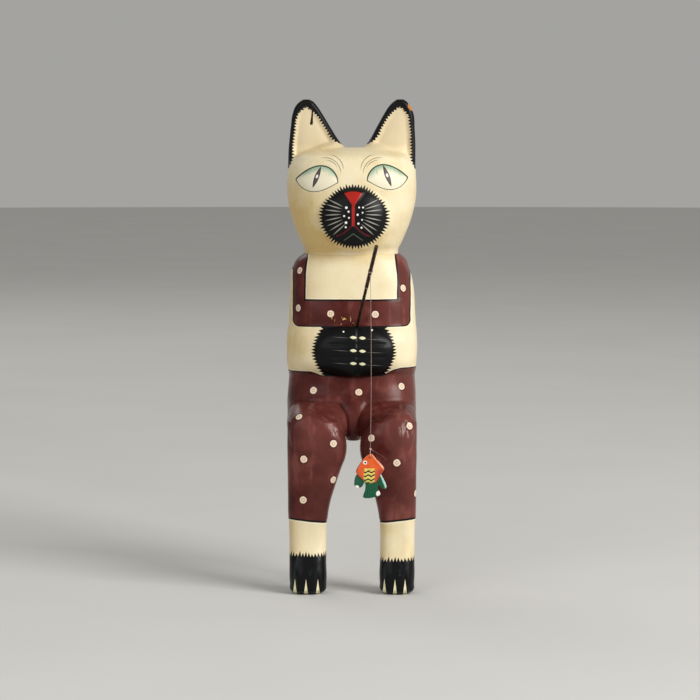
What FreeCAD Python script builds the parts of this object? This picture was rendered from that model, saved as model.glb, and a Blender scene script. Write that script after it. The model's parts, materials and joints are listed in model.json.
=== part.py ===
import FreeCAD, Part
import math
import os

# A carved wooden cat that sits on the edge of a shelf with its legs hanging down and
# fishes with a twig, a clear line and a small carved fish.
# Millimetres. +Z is up, the cat faces -Y, and its left paw is on the +X side.
# The origin is on the flat seat, under the middle of the torso.

Vector = FreeCAD.Vector

# Overall sizes of the figure.
EAR_HEIGHT = 350.0
SOLE_DEPTH = 150.0
NECK_HEIGHT = 190.0

# The flat joint between the torso and each leg, and the flat back of the legs,
# which hangs against the front edge of the shelf.
LEG_JOINT_Y = -40.0
SHELF_EDGE_Y = -62.0
THIGH_HEIGHT = 42.0

# Dowels, with the small clearance that glue needs.
GLUE_GAP = 0.1
NECK_DOWEL_RADIUS = 6.0
NECK_DOWEL_LENGTH = 50.0
NECK_DOWEL_Y = 2.0
LEG_DOWEL_RADIUS = 4.0
LEG_DOWEL_LENGTH = 40.0
LEG_DOWEL_X = 37.0
LEG_DOWEL_Z = 20.0

# The rod, from where it leaves the paws to its tip, and the socket it is pushed into.
ROD_EXIT = Vector(5.1, -52.0, 118.5)
ROD_TIP = Vector(23.6, -169.0, 204.5)
ROD_THIN_RADIUS = 1.6
ROD_THICK_RADIUS = 1.9
ROD_NODE_RADIUS = 2.2
ROD_NODE_AT = 0.5
ROD_NODE_LENGTH = 2.0
SOCKET_DEPTH = 28.0
SOCKET_CLEARANCE = 0.08
STOP_GAP = 0.05

# The line: where it is tied along the rod's free length, and its thickness.
TIE_AT = 0.7
LINE_RADIUS = 0.25
WHIPPING_LENGTH = 2.4
WHIPPING_THICKNESS = 0.55
KNOT_GAP = 0.3
TIE_KNOT_RADIUS = 0.9
FISH_KNOT_RADIUS = 1.2
FISH_KNOT_Z = 2.3
LINE_BOW = 1.7
LINE_BOW_Z = 72.0

# The fish hangs by its nose from a loop through a drilled hole.
FISH_NOSE_Z = -2.9
FISH_HOLE_BELOW_NOSE = 3.1
FISH_HOLE_RADIUS = 0.9
FISH_THICKNESS = 7.0
LOOP_HALF_WIDTH = 2.3
TAG_END = Vector(16.0, -10.5, -9.2)
TAG_RADIUS = 0.3

# Tail: its tenon in the lower back, its thickness, and the bends it takes up the back.
TAIL_RADIUS = 7.5
TAIL_ROUTE = [
    Vector(0, 36, 26),
    Vector(0, 65, 26),
    Vector(1, 64, 70),
    Vector(24, 60, 108),
    Vector(8, 56, 152),
]

RING_POINTS = 28


def superellipse(centre, side, up, half_side, half_up, power):
    """Closed smooth wire. Its points lie where |s/half_side|^power + |u/half_up|^power = 1."""
    points = []
    for index in range(RING_POINTS):
        angle = 2 * math.pi * index / RING_POINTS
        across = math.cos(angle)
        along = math.sin(angle)
        reach = (abs(across) ** power + abs(along) ** power) ** (-1 / power)
        offset = side * (half_side * reach * across) + up * (half_up * reach * along)
        points.append(centre + offset)
    curve = Part.BSplineCurve()
    curve.interpolate(points, PeriodicFlag=True)
    return Part.Wire([curve.toShape()])


def level_ring(z, left, right, front, back, power):
    """A horizontal section between two X values and two Y values."""
    centre = Vector((left + right) / 2, (front + back) / 2, z)
    return superellipse(
        centre, Vector(1, 0, 0), Vector(0, 1, 0), (right - left) / 2, (back - front) / 2, power
    )


def upright_ring(y, left, right, bottom, top, power):
    """A section facing -Y between two X values and two Z values."""
    centre = Vector((left + right) / 2, y, (bottom + top) / 2)
    return superellipse(
        centre, Vector(1, 0, 0), Vector(0, 0, 1), (right - left) / 2, (top - bottom) / 2, power
    )


def block(rings):
    """A carved block: one smooth skin over its sections, closed flat at both ends."""
    return Part.makeLoft(rings, True, False)


def ellipsoid(centre, radii):
    ball = Part.makeSphere(1.0)
    stretch = FreeCAD.Matrix()
    stretch.scale(radii)
    shape = ball.transformGeometry(stretch)
    shape.translate(centre)
    return shape


def box_between(low, high):
    size = high - low
    return Part.makeBox(size.x, size.y, size.z, low)


def rod_between(start, end, radius):
    along = end - start
    return Part.makeCylinder(radius, along.Length, start, along)


def rounded_route(points):
    """Straight runs joined by tangent arcs. Returns the wire and its arcs' radii."""
    edges = []
    radii = []
    begin = points[0]
    for before, corner, after in zip(points, points[1:], points[2:]):
        into = corner - before
        out = after - corner
        half_turn = into.getAngle(out) / 2
        setback = 0.45 * min(into.Length, out.Length)
        radii.append(setback / math.tan(half_turn))
        into_dir = Vector(into).normalize()
        out_dir = Vector(out).normalize()
        arc_start = corner - into_dir * setback
        arc_end = corner + out_dir * setback
        middle_dir = Vector(out_dir - into_dir).normalize()
        sag = radii[-1] / math.cos(half_turn) - radii[-1]
        edges.append(Part.LineSegment(begin, arc_start).toShape())
        edges.append(Part.Arc(arc_start, corner + middle_dir * sag, arc_end).toShape())
        begin = arc_end
    edges.append(Part.LineSegment(begin, points[-1]).toShape())
    return Part.Wire(edges), radii


def tube(wire, start, direction, radius):
    """A round tube along a wire."""
    circle = Part.Wire([Part.makeCircle(radius, start, direction)])
    return wire.makePipeShell([circle], True, False)


def rod_direction():
    return Vector(ROD_TIP - ROD_EXIT).normalize()


def tie_place():
    """The point on the rod's axis above which the line is tied."""
    return ROD_EXIT + (ROD_TIP - ROD_EXIT) * TIE_AT


def neck_dowel():
    start = Vector(0, NECK_DOWEL_Y, NECK_HEIGHT - NECK_DOWEL_LENGTH / 2)
    return Part.makeCylinder(NECK_DOWEL_RADIUS, NECK_DOWEL_LENGTH, start, Vector(0, 0, 1))


def neck_hole():
    start = Vector(0, NECK_DOWEL_Y, NECK_HEIGHT - NECK_DOWEL_LENGTH / 2 - GLUE_GAP)
    length = NECK_DOWEL_LENGTH + 2 * GLUE_GAP
    return Part.makeCylinder(NECK_DOWEL_RADIUS + GLUE_GAP, length, start, Vector(0, 0, 1))


def leg_dowel(side):
    start = Vector(side * LEG_DOWEL_X, LEG_JOINT_Y - LEG_DOWEL_LENGTH / 2, LEG_DOWEL_Z)
    return Part.makeCylinder(LEG_DOWEL_RADIUS, LEG_DOWEL_LENGTH, start, Vector(0, 1, 0))


def leg_hole(side):
    y = LEG_JOINT_Y - LEG_DOWEL_LENGTH / 2 - GLUE_GAP
    start = Vector(side * LEG_DOWEL_X, y, LEG_DOWEL_Z)
    length = LEG_DOWEL_LENGTH + 2 * GLUE_GAP
    return Part.makeCylinder(LEG_DOWEL_RADIUS + GLUE_GAP, length, start, Vector(0, 1, 0))


def torso():
    """Body block with the folded forearms as a band and the paws as one swelling."""
    trunk = block([
        level_ring(0, -64.5, 64.5, -44, 50, 3.6),
        level_ring(25, -66, 65.5, -44, 53, 3.3),
        level_ring(60, -65.5, 65, -45, 53, 3.1),
        level_ring(90, -66, 66, -49, 50, 3.0),
        level_ring(130, -64.5, 65, -47, 46, 3.0),
        level_ring(160, -63, 62.5, -43, 43, 2.9),
        level_ring(177, -60.5, 58, -40, 41, 2.8),
        level_ring(NECK_HEIGHT, -49.5, 48.5, -37, 39, 2.6),
    ])
    forearms = block([
        level_ring(62, -66.6, 66.6, -46, 40, 3.0),
        level_ring(74, -67.5, 67.5, -54, 40, 3.0),
        level_ring(90, -68, 68, -56, 40, 3.0),
        level_ring(106, -67.5, 67.5, -54, 40, 3.0),
        level_ring(120, -65.6, 65.6, -47, 40, 3.0),
    ])
    paws = ellipsoid(Vector(2, -48, 92.5), Vector(44, 14, 26.5))
    body = trunk.fuse([forearms, paws])
    thigh_seat = box_between(
        Vector(-80, -80, -1), Vector(80, LEG_JOINT_Y, THIGH_HEIGHT)
    )
    body = body.cut(thigh_seat)
    body = body.cut(neck_hole())
    for side in (-1, 1):
        body = body.cut(leg_hole(side))
    along = rod_direction()
    socket_end = ROD_EXIT - along * SOCKET_DEPTH
    body = body.cut(rod_between(socket_end, ROD_EXIT + along * 15, ROD_THIN_RADIUS + SOCKET_CLEARANCE))
    return body.cut(tail_tenon(TAIL_RADIUS + GLUE_GAP, GLUE_GAP)).removeSplitter()


def ear(sections):
    """One ear: sections from its root to its tip, each (z, left, right, front, back)."""
    return block([level_ring(z, a, b, front, back, 2.3) for z, a, b, front, back in sections])


def head():
    """Head block with the two ears and the muzzle, and a shallow scoop in each ear."""
    skull = block([
        level_ring(NECK_HEIGHT, -49.5, 48.5, -37, 39, 2.6),
        level_ring(200, -52, 50.5, -44, 42, 2.5),
        level_ring(212, -56.5, 55.5, -49.5, 45, 2.5),
        level_ring(228, -62, 61.5, -54, 48, 2.5),
        level_ring(246, -66, 65.5, -55, 49, 2.5),
        level_ring(270, -66.5, 65.8, -53.5, 48, 2.5),
        level_ring(284, -63, 62.5, -47.5, 44, 2.4),
        level_ring(294, -53, 53, -38, 37, 2.3),
        level_ring(300, -36, 38, -23, 25, 2.2),
    ])
    muzzle = ellipsoid(Vector(2, -47, 228), Vector(37, 18, 34))
    left_ear = ear([
        (272, -66, -2, -24, 20),
        (303, -64.8, -11, -14, 11),
        (320, -63, -22.5, -9.5, 8),
        (334, -60.5, -31, -7.5, 6),
        (343, -56.5, -37, -6, 4.5),
        (EAR_HEIGHT, -51, -44, -4, 3),
    ])
    right_ear = ear([
        (272, 6, 65, -24, 20),
        (303, 15.5, 65.3, -14, 11),
        (320, 25.5, 64.3, -9.5, 8),
        (334, 33.5, 62.3, -7.5, 6),
        (343, 39.5, 58.5, -6, 4.5),
        (EAR_HEIGHT, 46.5, 53.5, -4, 3),
    ])
    shape = skull.fuse([muzzle, left_ear, right_ear])
    left_scoop = ear([
        (289, -58, -22, -26, -10),
        (312, -58.5, -25, -17, -5.5),
        (341, -53.5, -42, -9, -3.5),
    ])
    right_scoop = ear([
        (289, 26, 59, -26, -10),
        (312, 29, 59.5, -17, -5.5),
        (341, 45, 55.5, -9, -3.5),
    ])
    shape = shape.cut(left_scoop).cut(right_scoop)
    return shape.cut(neck_hole()).removeSplitter()


def leg(side, knee_inner, ankle_inner, sole_inner):
    """One leg: a thigh from the torso joint to the knee, and a shank with its foot."""
    def span(inner, outer):
        """The left and right X of a section, from its distances to the middle of the cat."""
        return (-outer, -inner) if side < 0 else (inner, outer)

    thigh = block([
        upright_ring(LEG_JOINT_Y, *span(knee_inner - 8.5, 65.5), -4, THIGH_HEIGHT, 3.4),
        upright_ring(-62, *span(knee_inner - 8, 65.5), -8, THIGH_HEIGHT, 3.2),
        upright_ring(-80, *span(knee_inner - 4, 65), -12, 41, 2.9),
        upright_ring(-90, *span(knee_inner + 3, 62), -12, 36, 2.6),
        upright_ring(-96, *span(knee_inner + 11, 55), -12, 26, 2.2),
    ])
    knee_ankle = knee_inner + (ankle_inner - knee_inner) * 0.5
    shank = block([
        level_ring(24, *span(knee_inner + 1, 64.5), -95, -58, 2.8),
        level_ring(-10, *span(knee_inner, 64.5), -96, -57, 2.8),
        level_ring(-40, *span(knee_ankle, 64.2), -94.5, -57, 2.8),
        level_ring(-72, *span(ankle_inner, 63.3), -92.5, -57, 2.8),
        level_ring(-100, *span(ankle_inner + 1, 62.5), -93, -57, 2.8),
        level_ring(-118, *span(sole_inner, 62.6), -98, -57, 2.9),
        level_ring(-140, *span(sole_inner, 62.2), -101, -57, 2.9),
        level_ring(-SOLE_DEPTH + 3, *span(sole_inner + 1.5, 61), -99, -58, 2.8),
        level_ring(-SOLE_DEPTH, *span(sole_inner + 5, 57.5), -94, -60, 2.6),
    ])
    shape = thigh.fuse(shank)
    under_shelf = box_between(
        Vector(-90, SHELF_EDGE_Y, -SOLE_DEPTH - 5), Vector(90, LEG_JOINT_Y + 20, 0)
    )
    return shape.cut(under_shelf).cut(leg_hole(side))


def tail_tenon(radius, extra):
    start = TAIL_ROUTE[0] - Vector(0, extra, 0)
    return Part.makeCylinder(radius, 40, start, Vector(0, 1, 0))


def tail():
    wire, radii = rounded_route(TAIL_ROUTE)
    rod = tube(wire, TAIL_ROUTE[0], Vector(0, 1, 0), TAIL_RADIUS)
    tip = Part.makeSphere(TAIL_RADIUS, TAIL_ROUTE[-1])
    return rod.fuse(tip).removeSplitter()


def fishing_rod():
    """A twig: thinner below its node, thicker above, cut square at the tip."""
    along = rod_direction()
    foot = ROD_EXIT - along * (SOCKET_DEPTH - STOP_GAP)
    node = ROD_EXIT + (ROD_TIP - ROD_EXIT) * ROD_NODE_AT
    lower = rod_between(foot, node, ROD_THIN_RADIUS)
    upper = rod_between(node, ROD_TIP, ROD_THICK_RADIUS)
    half_node = along * (ROD_NODE_LENGTH / 2)
    ridge = rod_between(node - half_node, node + half_node, ROD_NODE_RADIUS)
    return lower.fuse([upper, ridge]).removeSplitter()


def rod_whipping():
    """Turns of line wound round the rod, as one sleeve."""
    half = rod_direction() * (WHIPPING_LENGTH / 2)
    place = tie_place()
    outer = rod_between(place - half, place + half, ROD_THICK_RADIUS + WHIPPING_THICKNESS)
    inner = rod_between(place - half * 2, place + half * 2, ROD_THICK_RADIUS)
    return outer.cut(inner)


def tie_knot_centre():
    """Straight under the tie, a gap below the lowest turn of the whipping."""
    tilt = math.hypot(rod_direction().x, rod_direction().y)
    below = (ROD_THICK_RADIUS + WHIPPING_THICKNESS) / tilt
    below += WHIPPING_LENGTH / 2 * abs(rod_direction().z)
    return tie_place() - Vector(0, 0, below + KNOT_GAP + TIE_KNOT_RADIUS)


def fish_knot_centre():
    tie = tie_place()
    return Vector(tie.x, tie.y, FISH_KNOT_Z)


def line_route():
    """From just under the tie knot to just above the fish knot, bowed a little to +X."""
    top = tie_knot_centre() - Vector(0, 0, TIE_KNOT_RADIUS + KNOT_GAP)
    bottom = fish_knot_centre() + Vector(0, 0, FISH_KNOT_RADIUS + KNOT_GAP / 3)
    bow = Vector(top.x + LINE_BOW, top.y, LINE_BOW_Z)
    return [top, bow, bottom]


def fishing_line():
    route = line_route()
    wire, radii = rounded_route(route)
    line = tube(wire, route[0], route[1] - route[0], LINE_RADIUS)
    expected = math.pi * LINE_RADIUS**2 * wire.Length
    print("line: length %.1f, volume %.3f, section times length %.3f, radii %s"
          % (wire.Length, line.Volume, expected, [round(r) for r in radii]))
    return line


def fish_knot():
    """The knot, the loop through the fish's nose and the stiff end left after trimming."""
    centre = fish_knot_centre()
    knot = ellipsoid(centre, Vector(FISH_KNOT_RADIUS, FISH_KNOT_RADIUS, FISH_KNOT_RADIUS))
    hole_z = FISH_NOSE_Z - FISH_HOLE_BELOW_NOSE
    loop_low = hole_z - 0.2
    loop_side = loop_low + LOOP_HALF_WIDTH
    front = centre + Vector(0, -LOOP_HALF_WIDTH, 0)
    front.z = loop_side
    back = centre + Vector(0, LOOP_HALF_WIDTH, 0)
    back.z = loop_side
    low = Vector(centre.x, centre.y, loop_low)
    edges = [
        Part.LineSegment(centre, front).toShape(),
        Part.Arc(front, low, back).toShape(),
        Part.LineSegment(back, centre).toShape(),
    ]
    pieces = []
    for edge in edges:
        wire = Part.Wire([edge])
        start = edge.valueAt(edge.FirstParameter)
        heading = edge.tangentAt(edge.FirstParameter)
        pieces.append(tube(wire, start, heading, LINE_RADIUS))
    joints = [Part.makeSphere(LINE_RADIUS, place) for place in (front, back)]
    tag = rod_between(centre, centre + TAG_END, TAG_RADIUS)
    return knot.fuse(pieces + joints + [tag]).removeSplitter()


def flat_cut(points, thickness):
    """A flat piece sawn to a smooth outline of (x, z) points, centred on Y = 0."""
    curve = Part.BSplineCurve()
    curve.interpolate([Vector(x, -thickness / 2, z) for x, z in points], PeriodicFlag=True)
    face = Part.Face(Part.Wire([curve.toShape()]))
    return face.extrude(Vector(0, thickness, 0))


def fish():
    """The fish about its nose hole at the origin, then turned until it hangs plumb."""
    body = flat_cut(
        [(1, 3.1), (5.5, -1.5), (12.8, -11), (10.5, -19), (5, -27.5),
         (-3.5, -28), (-8.2, -23), (-13.6, -15), (-10.6, -7.5), (-4.6, 1.0)],
        FISH_THICKNESS,
    )
    left_fin = flat_cut(
        [(-9, -16), (-15, -18.5), (-16.3, -28), (-12, -31), (-6.5, -26)], FISH_THICKNESS * 0.5
    )
    right_fin = flat_cut(
        [(8, -15), (11.5, -19), (15.8, -29), (12.4, -32), (6, -25)], FISH_THICKNESS * 0.5
    )
    tail_fan = flat_cut(
        [(-3.5, -25), (4, -25), (6, -33), (8.6, -36.5), (6, -39.5), (-2.5, -41.3),
         (-6.8, -40), (-5, -32)],
        FISH_THICKNESS * 0.6,
    )
    profile = Part.makePolygon([
        Vector(-30, -1.5, 4), Vector(-30, -1.5, -4), Vector(-30, -3.5, -11),
        Vector(-30, -3.5, -24), Vector(-30, -1.8, -42), Vector(-30, 1.8, -42),
        Vector(-30, 3.5, -24), Vector(-30, 3.5, -11), Vector(-30, 1.5, -4),
        Vector(-30, 1.5, 4), Vector(-30, -1.5, 4),
    ])
    wedge = Part.Face(profile).extrude(Vector(60, 0, 0))
    shape = body.fuse([left_fin, right_fin, tail_fan]).common(wedge)
    hole = Part.makeCylinder(FISH_HOLE_RADIUS, 20, Vector(0, -10, 0), Vector(0, 1, 0))
    shape = shape.cut(hole).removeSplitter()
    middle = shape.CenterOfGravity
    plumb = math.degrees(math.atan2(middle.x, -middle.z))
    shape.rotate(Vector(0, 0, 0), Vector(0, 1, 0), plumb)
    place = fish_knot_centre()
    place.z = FISH_NOSE_Z - FISH_HOLE_BELOW_NOSE
    shape.translate(place)
    print("fish: hole at %s, turned %.2f degrees, balance at %s"
          % (place, plumb, shape.CenterOfGravity))
    return shape


def all_parts():
    return {
        "torso": torso(),
        "head": head(),
        "left_leg": leg(-1, 13.0, 25.5, 26.5),
        "right_leg": leg(1, 15.5, 28.0, 28.5),
        "tail": tail(),
        "neck_dowel": neck_dowel(),
        "leg_dowels": Part.makeCompound([leg_dowel(-1), leg_dowel(1)]),
        "fishing_rod": fishing_rod(),
        "rod_whipping": rod_whipping(),
        "tie_knot": ellipsoid(tie_knot_centre(), Vector(1, 1, 1) * TIE_KNOT_RADIUS),
        "fishing_line": fishing_line(),
        "fish_knot": fish_knot(),
        "fish": fish(),
    }


def main():
    os.makedirs("parts", exist_ok=True)
    for name, shape in all_parts().items():
        print("%s: valid %s, solids %d, volume %.1f"
              % (name, shape.isValid(), len(shape.Solids), shape.Volume))
        shape.exportStep("parts/%s.step" % name)


main()
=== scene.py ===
"""The looks of a carved and painted wooden cat that sits on a shelf edge and fishes.

Sizes are in millimetres unless a name says metres, in the part's own frame: +Z is up, the cat
faces -Y, +X is the cat's left, and the origin is on the flat seat. The names left and right follow
a viewer in front of the cat instead, so left is -X. Every carved piece is made the same way:
blocks whose sections are worked out with numpy are merged to one skin, the relief is pushed into
that skin, and the paint is laid on in layers by a procedural material.
"""

import json
import logging
import math
from collections.abc import Callable, Sequence
from dataclasses import dataclass
from enum import Enum

import bpy
import numpy as np
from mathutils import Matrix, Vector


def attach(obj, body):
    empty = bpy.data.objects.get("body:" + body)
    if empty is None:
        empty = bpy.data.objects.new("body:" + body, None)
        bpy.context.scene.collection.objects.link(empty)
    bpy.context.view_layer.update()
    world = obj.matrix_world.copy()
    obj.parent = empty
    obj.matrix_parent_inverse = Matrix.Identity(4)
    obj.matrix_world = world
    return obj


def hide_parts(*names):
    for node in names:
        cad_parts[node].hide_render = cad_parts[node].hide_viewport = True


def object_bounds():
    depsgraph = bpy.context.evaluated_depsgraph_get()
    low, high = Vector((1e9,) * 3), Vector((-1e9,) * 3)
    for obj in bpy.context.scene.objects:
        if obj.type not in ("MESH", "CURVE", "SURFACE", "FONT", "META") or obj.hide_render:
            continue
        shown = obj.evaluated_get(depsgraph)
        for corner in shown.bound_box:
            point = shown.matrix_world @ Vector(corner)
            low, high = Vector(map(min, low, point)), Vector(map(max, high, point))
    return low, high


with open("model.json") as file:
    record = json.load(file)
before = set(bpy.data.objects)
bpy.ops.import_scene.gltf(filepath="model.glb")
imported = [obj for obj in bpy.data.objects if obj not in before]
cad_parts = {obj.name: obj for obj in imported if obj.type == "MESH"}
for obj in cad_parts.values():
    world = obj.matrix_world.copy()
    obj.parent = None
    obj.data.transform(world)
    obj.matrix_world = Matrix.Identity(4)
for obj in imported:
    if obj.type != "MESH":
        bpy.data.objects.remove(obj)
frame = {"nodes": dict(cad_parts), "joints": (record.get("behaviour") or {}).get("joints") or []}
CAD_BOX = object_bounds()

MM = 0.001
SEED = 7
ROD_EXIT = (5.1, -52.0, 118.5)
ROD_INSIDE = 27.9
TUBE_SIDES = 24
SENSOR_WIDTH = 36.0
LOG = logging.getLogger("fishing_cat")
Array = np.ndarray
Colour = tuple[float, float, float, float]


class Body(Enum):
    """The moving bodies of the part."""

    FIGURE = "figure"
    ROD = "rod"
    TIE = "tie"
    LINE = "line"
    SNELL = "snell"
    FISH = "fish"


class Side(Enum):
    """A side as a viewer in front of the cat sees it, by the sign of its X."""

    LEFT = -1
    RIGHT = 1


def paint_colour(red: float, green: float, blue: float) -> Colour:
    """A paint's colour for a shader.

    Args:
        red: Display red, 0 to 255.
        green: Display green, 0 to 255.
        blue: Display blue, 0 to 255.

    Returns:
        The linear colour, with full opacity.
    """
    linear = [
        ((c / 255 + 0.055) / 1.055) ** 2.4 if c > 10 else c / 255 / 12.92
        for c in (red, green, blue)
    ]
    return (*linear, 1.0)


CREAM = paint_colour(238, 225, 190)
CREAM_PALE = paint_colour(247, 240, 218)
# Yellowed cream, also used for painted shade.
CREAM_YELLOWED_AND_SHADED = paint_colour(206, 174, 104)
MAROON = paint_colour(98, 45, 40)
# Worn maroon, also used for painted light.
MAROON_WORN_AND_LIT = paint_colour(140, 84, 76)
MAROON_DEEP = paint_colour(72, 26, 22)
BLACK = paint_colour(8, 9, 11)
DOT = paint_colour(236, 216, 192)
DOT_RING = paint_colour(164, 118, 94)
NOSE_RED = paint_colour(170, 36, 27)
MOUTH_RED = paint_colour(88, 18, 20)
LID_GREEN = paint_colour(52, 74, 58)
EYE_GREEN = paint_colour(140, 176, 146)
PUPIL = paint_colour(92, 76, 78)
WHITE = paint_colour(246, 243, 236)
CLAW = paint_colour(236, 230, 190)
WHISKER = paint_colour(166, 163, 152)
BARE_WOOD = paint_colour(186, 122, 58)
GRAIN_DARK = paint_colour(122, 74, 34)


# ---------------------------------------------------------------- shader terms


class Term:
    """One socket of a shader, with the arithmetic of a plain number."""

    def __init__(self, recipe: "Recipe", socket: bpy.types.NodeSocket) -> None:
        """Keeps the recipe that the socket belongs to, and the socket."""
        self.recipe = recipe
        self.socket = socket

    def __add__(self, other: "Term | float") -> "Term":
        """This plus the other."""
        return self.recipe.math("ADD", self, other)

    __radd__ = __add__

    def __sub__(self, other: "Term | float") -> "Term":
        """This minus the other."""
        return self.recipe.math("SUBTRACT", self, other)

    def __rsub__(self, other: float) -> "Term":
        """The other minus this."""
        return self.recipe.math("SUBTRACT", other, self)

    def __mul__(self, other: "Term | float") -> "Term":
        """This times the other."""
        return self.recipe.math("MULTIPLY", self, other)

    __rmul__ = __mul__

    def __truediv__(self, other: "Term | float") -> "Term":
        """This divided by the other."""
        return self.recipe.math("DIVIDE", self, other)

    def __pow__(self, power: float) -> "Term":
        """This to a power."""
        return self.recipe.math("POWER", self, power)

    def __neg__(self) -> "Term":
        """This with its sign turned."""
        return self * -1.0

    def __abs__(self) -> "Term":
        """This without its sign."""
        return self.recipe.math("ABSOLUTE", self)

    def __and__(self, other: "Term | float") -> "Term":
        """The smaller of the two: both masks at once."""
        return self.recipe.math("MINIMUM", self, other)

    __rand__ = __and__

    def __or__(self, other: "Term | float") -> "Term":
        """The larger of the two: either mask."""
        return self.recipe.math("MAXIMUM", self, other)

    __ror__ = __or__


class Recipe:
    """A material's nodes, made from expressions on the place in the piece."""

    def __init__(self, tree: bpy.types.NodeTree) -> None:
        """Keeps the tree, and makes the place in millimetres.

        Args:
            tree: The material's empty node tree.
        """
        self.tree = tree
        place = self.node("ShaderNodeTexCoord", output="Object")
        self.place = self.node(
            "ShaderNodeVectorMath", {"operation": "SCALE"}, {0: place, "Scale": 1 / MM}
        )

    def node(
        self,
        kind: str,
        settings: dict[str, object] | None = None,
        inputs: dict[int | str, object] | None = None,
        output: int | str = 0,
    ) -> Term:
        """Adds any node.

        Args:
            kind: The node's type.
            settings: Its properties, which are set first.
            inputs: Values or terms for its sockets, by index or name.
            output: The output that the term stands for.

        Returns:
            The term for that output.
        """
        made = self.tree.nodes.new(kind)
        for name, value in (settings or {}).items():
            setattr(made, name, value)
        for key, value in (inputs or {}).items():
            if isinstance(value, Term):
                self.tree.links.new(value.socket, made.inputs[key])
            else:
                made.inputs[key].default_value = value
        return Term(self, made.outputs[output])

    def math(self, operation: str, *values: Term | float) -> Term:
        """One Math node on the values, in order."""
        return self.node("ShaderNodeMath", {"operation": operation}, dict(enumerate(values)))

    def axes(self) -> tuple[Term, Term, Term]:
        """The place's X, Y and Z in millimetres."""
        split = self.node("ShaderNodeSeparateXYZ", {}, {0: self.place}).socket.node
        return tuple(Term(self, output) for output in split.outputs)

    def fade(self, value: Term, low: float, high: float) -> Term:
        """0 at low and 1 at high, smoothly between, in either order of the two."""
        settings = {"interpolation_type": "SMOOTHSTEP"}
        return self.node("ShaderNodeMapRange", settings, {0: value, 1: low, 2: high})

    def under(self, value: Term, edge: float, soft: float = 0.12) -> Term:
        """1 where the value is under the edge."""
        return self.fade(value, edge + soft, edge - soft)

    def over(self, value: Term, edge: float, soft: float = 0.12) -> Term:
        """1 where the value is over the edge."""
        return self.fade(value, edge - soft, edge + soft)

    def within(self, value: Term, low: float, high: float, soft: float = 0.12) -> Term:
        """1 between the two edges."""
        return self.over(value, low, soft) * self.under(value, high, soft)

    def mix(self, mask: Term | float, ground: Term | Colour, top: Term | Colour) -> Term:
        """The ground's colour where the mask is 0 and the top's where it is 1."""
        return self.node("ShaderNodeMix", {"data_type": "RGBA"}, {0: mask, 6: ground, 7: top}, 2)

    def blend(self, mask: Term | float, ground: Term | float, top: Term | float) -> Term:
        """The ground's number where the mask is 0 and the top's where it is 1."""
        return self.node("ShaderNodeMix", {"data_type": "FLOAT"}, {0: mask, 2: ground, 3: top})

    def stretched(self, across: float, deep: float, along: float, shift: float = 0.0) -> Term:
        """The place with each axis scaled, for grain and brush strokes."""
        return self.node(
            "ShaderNodeVectorMath",
            {"operation": "MULTIPLY_ADD"},
            {0: self.place, 1: (across, deep, along), 2: (shift, shift, shift)},
        )

    def noise(
        self,
        size: float,
        detail: float = 2.0,
        grain: tuple[float, float, float] = (1, 1, 1),
        shift: float = 0.0,
    ) -> Term:
        """Cloudy noise around 0.5.

        Args:
            size: The width of its blots in millimetres.
            detail: How much finer noise is laid on it.
            grain: How much finer it is along each axis.
            shift: Moves the pattern, so that two of them differ.

        Returns:
            The noise.
        """
        vector = self.stretched(*(g / size for g in grain), shift)
        inputs = {"Vector": vector, "Scale": 1.0, "Detail": detail}
        return self.node("ShaderNodeTexNoise", {}, inputs)

    def cells(self, size: float, feature: str = "F1") -> Term:
        """The distance to the nearest of scattered points, or to the edge between two."""
        vector = self.stretched(1 / size, 1 / size, 1 / size)
        return self.node(
            "ShaderNodeTexVoronoi",
            {"feature": feature},
            {"Vector": vector, "Scale": 1.0},
            "Distance",
        )

    def from_point(self, point: Sequence[float]) -> Term:
        """The distance in millimetres from a point."""
        return self.node(
            "ShaderNodeVectorMath",
            {"operation": "DISTANCE"},
            {0: self.place, 1: tuple(point)},
            "Value",
        )

    def from_axis(self, x: Term, z: Term, centre_x: float, centre_z: float) -> Term:
        """The distance from a centre as seen from the front."""
        return self.math("SQRT", (x - centre_x) * (x - centre_x) + (z - centre_z) * (z - centre_z))

    def note(self, name: str) -> Term:
        """A number that the mesh holds at each of its points."""
        return self.node("ShaderNodeAttribute", {"attribute_name": name}, {}, "Fac")

    def saw(self, value: Term, pitch: float, uneven: float = 0.0) -> Term:
        """Pointed teeth: 0 at the roots and 1 at the tips, one tooth to each pitch.

        Args:
            value: The place along the row of teeth.
            pitch: The width of a tooth.
            uneven: How much each tooth falls short, at random, from 0 to 1.

        Returns:
            The height in the row at that place.
        """
        along = value / pitch
        tooth = self.math("FLOOR", along)
        point = 1.0 - abs(self.math("FRACT", along) - 0.5) * 2.0
        if uneven <= 0:
            return point
        chance = self.node(
            "ShaderNodeTexWhiteNoise", {"noise_dimensions": "1D"}, {"W": tooth}, "Value"
        )
        return point * (1.0 - chance * uneven)


class Coating:
    """Paint as it builds up: its colour, its roughness and its thickness in millimetres."""

    def __init__(
        self, recipe: Recipe, colour: Term | Colour, rough: Term | float, height: Term | float
    ) -> None:
        """Starts from the ground coat.

        Args:
            recipe: The material's recipe.
            colour: The ground's colour.
            rough: The ground's roughness.
            height: The ground's unevenness in millimetres.
        """
        self.recipe = recipe
        self.colour = colour
        self.rough = rough
        self.height = height

    def lay(
        self, mask: Term, colour: Term | Colour, thick: float = 0.0, rough: float | None = None
    ) -> None:
        """Lays one more colour where the mask says.

        Args:
            mask: 1 where the colour goes.
            colour: The colour.
            thick: How far it stands up, or is cut in, in millimetres.
            rough: Its roughness, if it is other than the ground's.
        """
        self.colour = self.recipe.mix(mask, self.colour, colour)
        if thick:
            self.height = self.height + mask * thick
        if rough is not None:
            self.rough = self.recipe.blend(mask, self.rough, rough)


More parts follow.
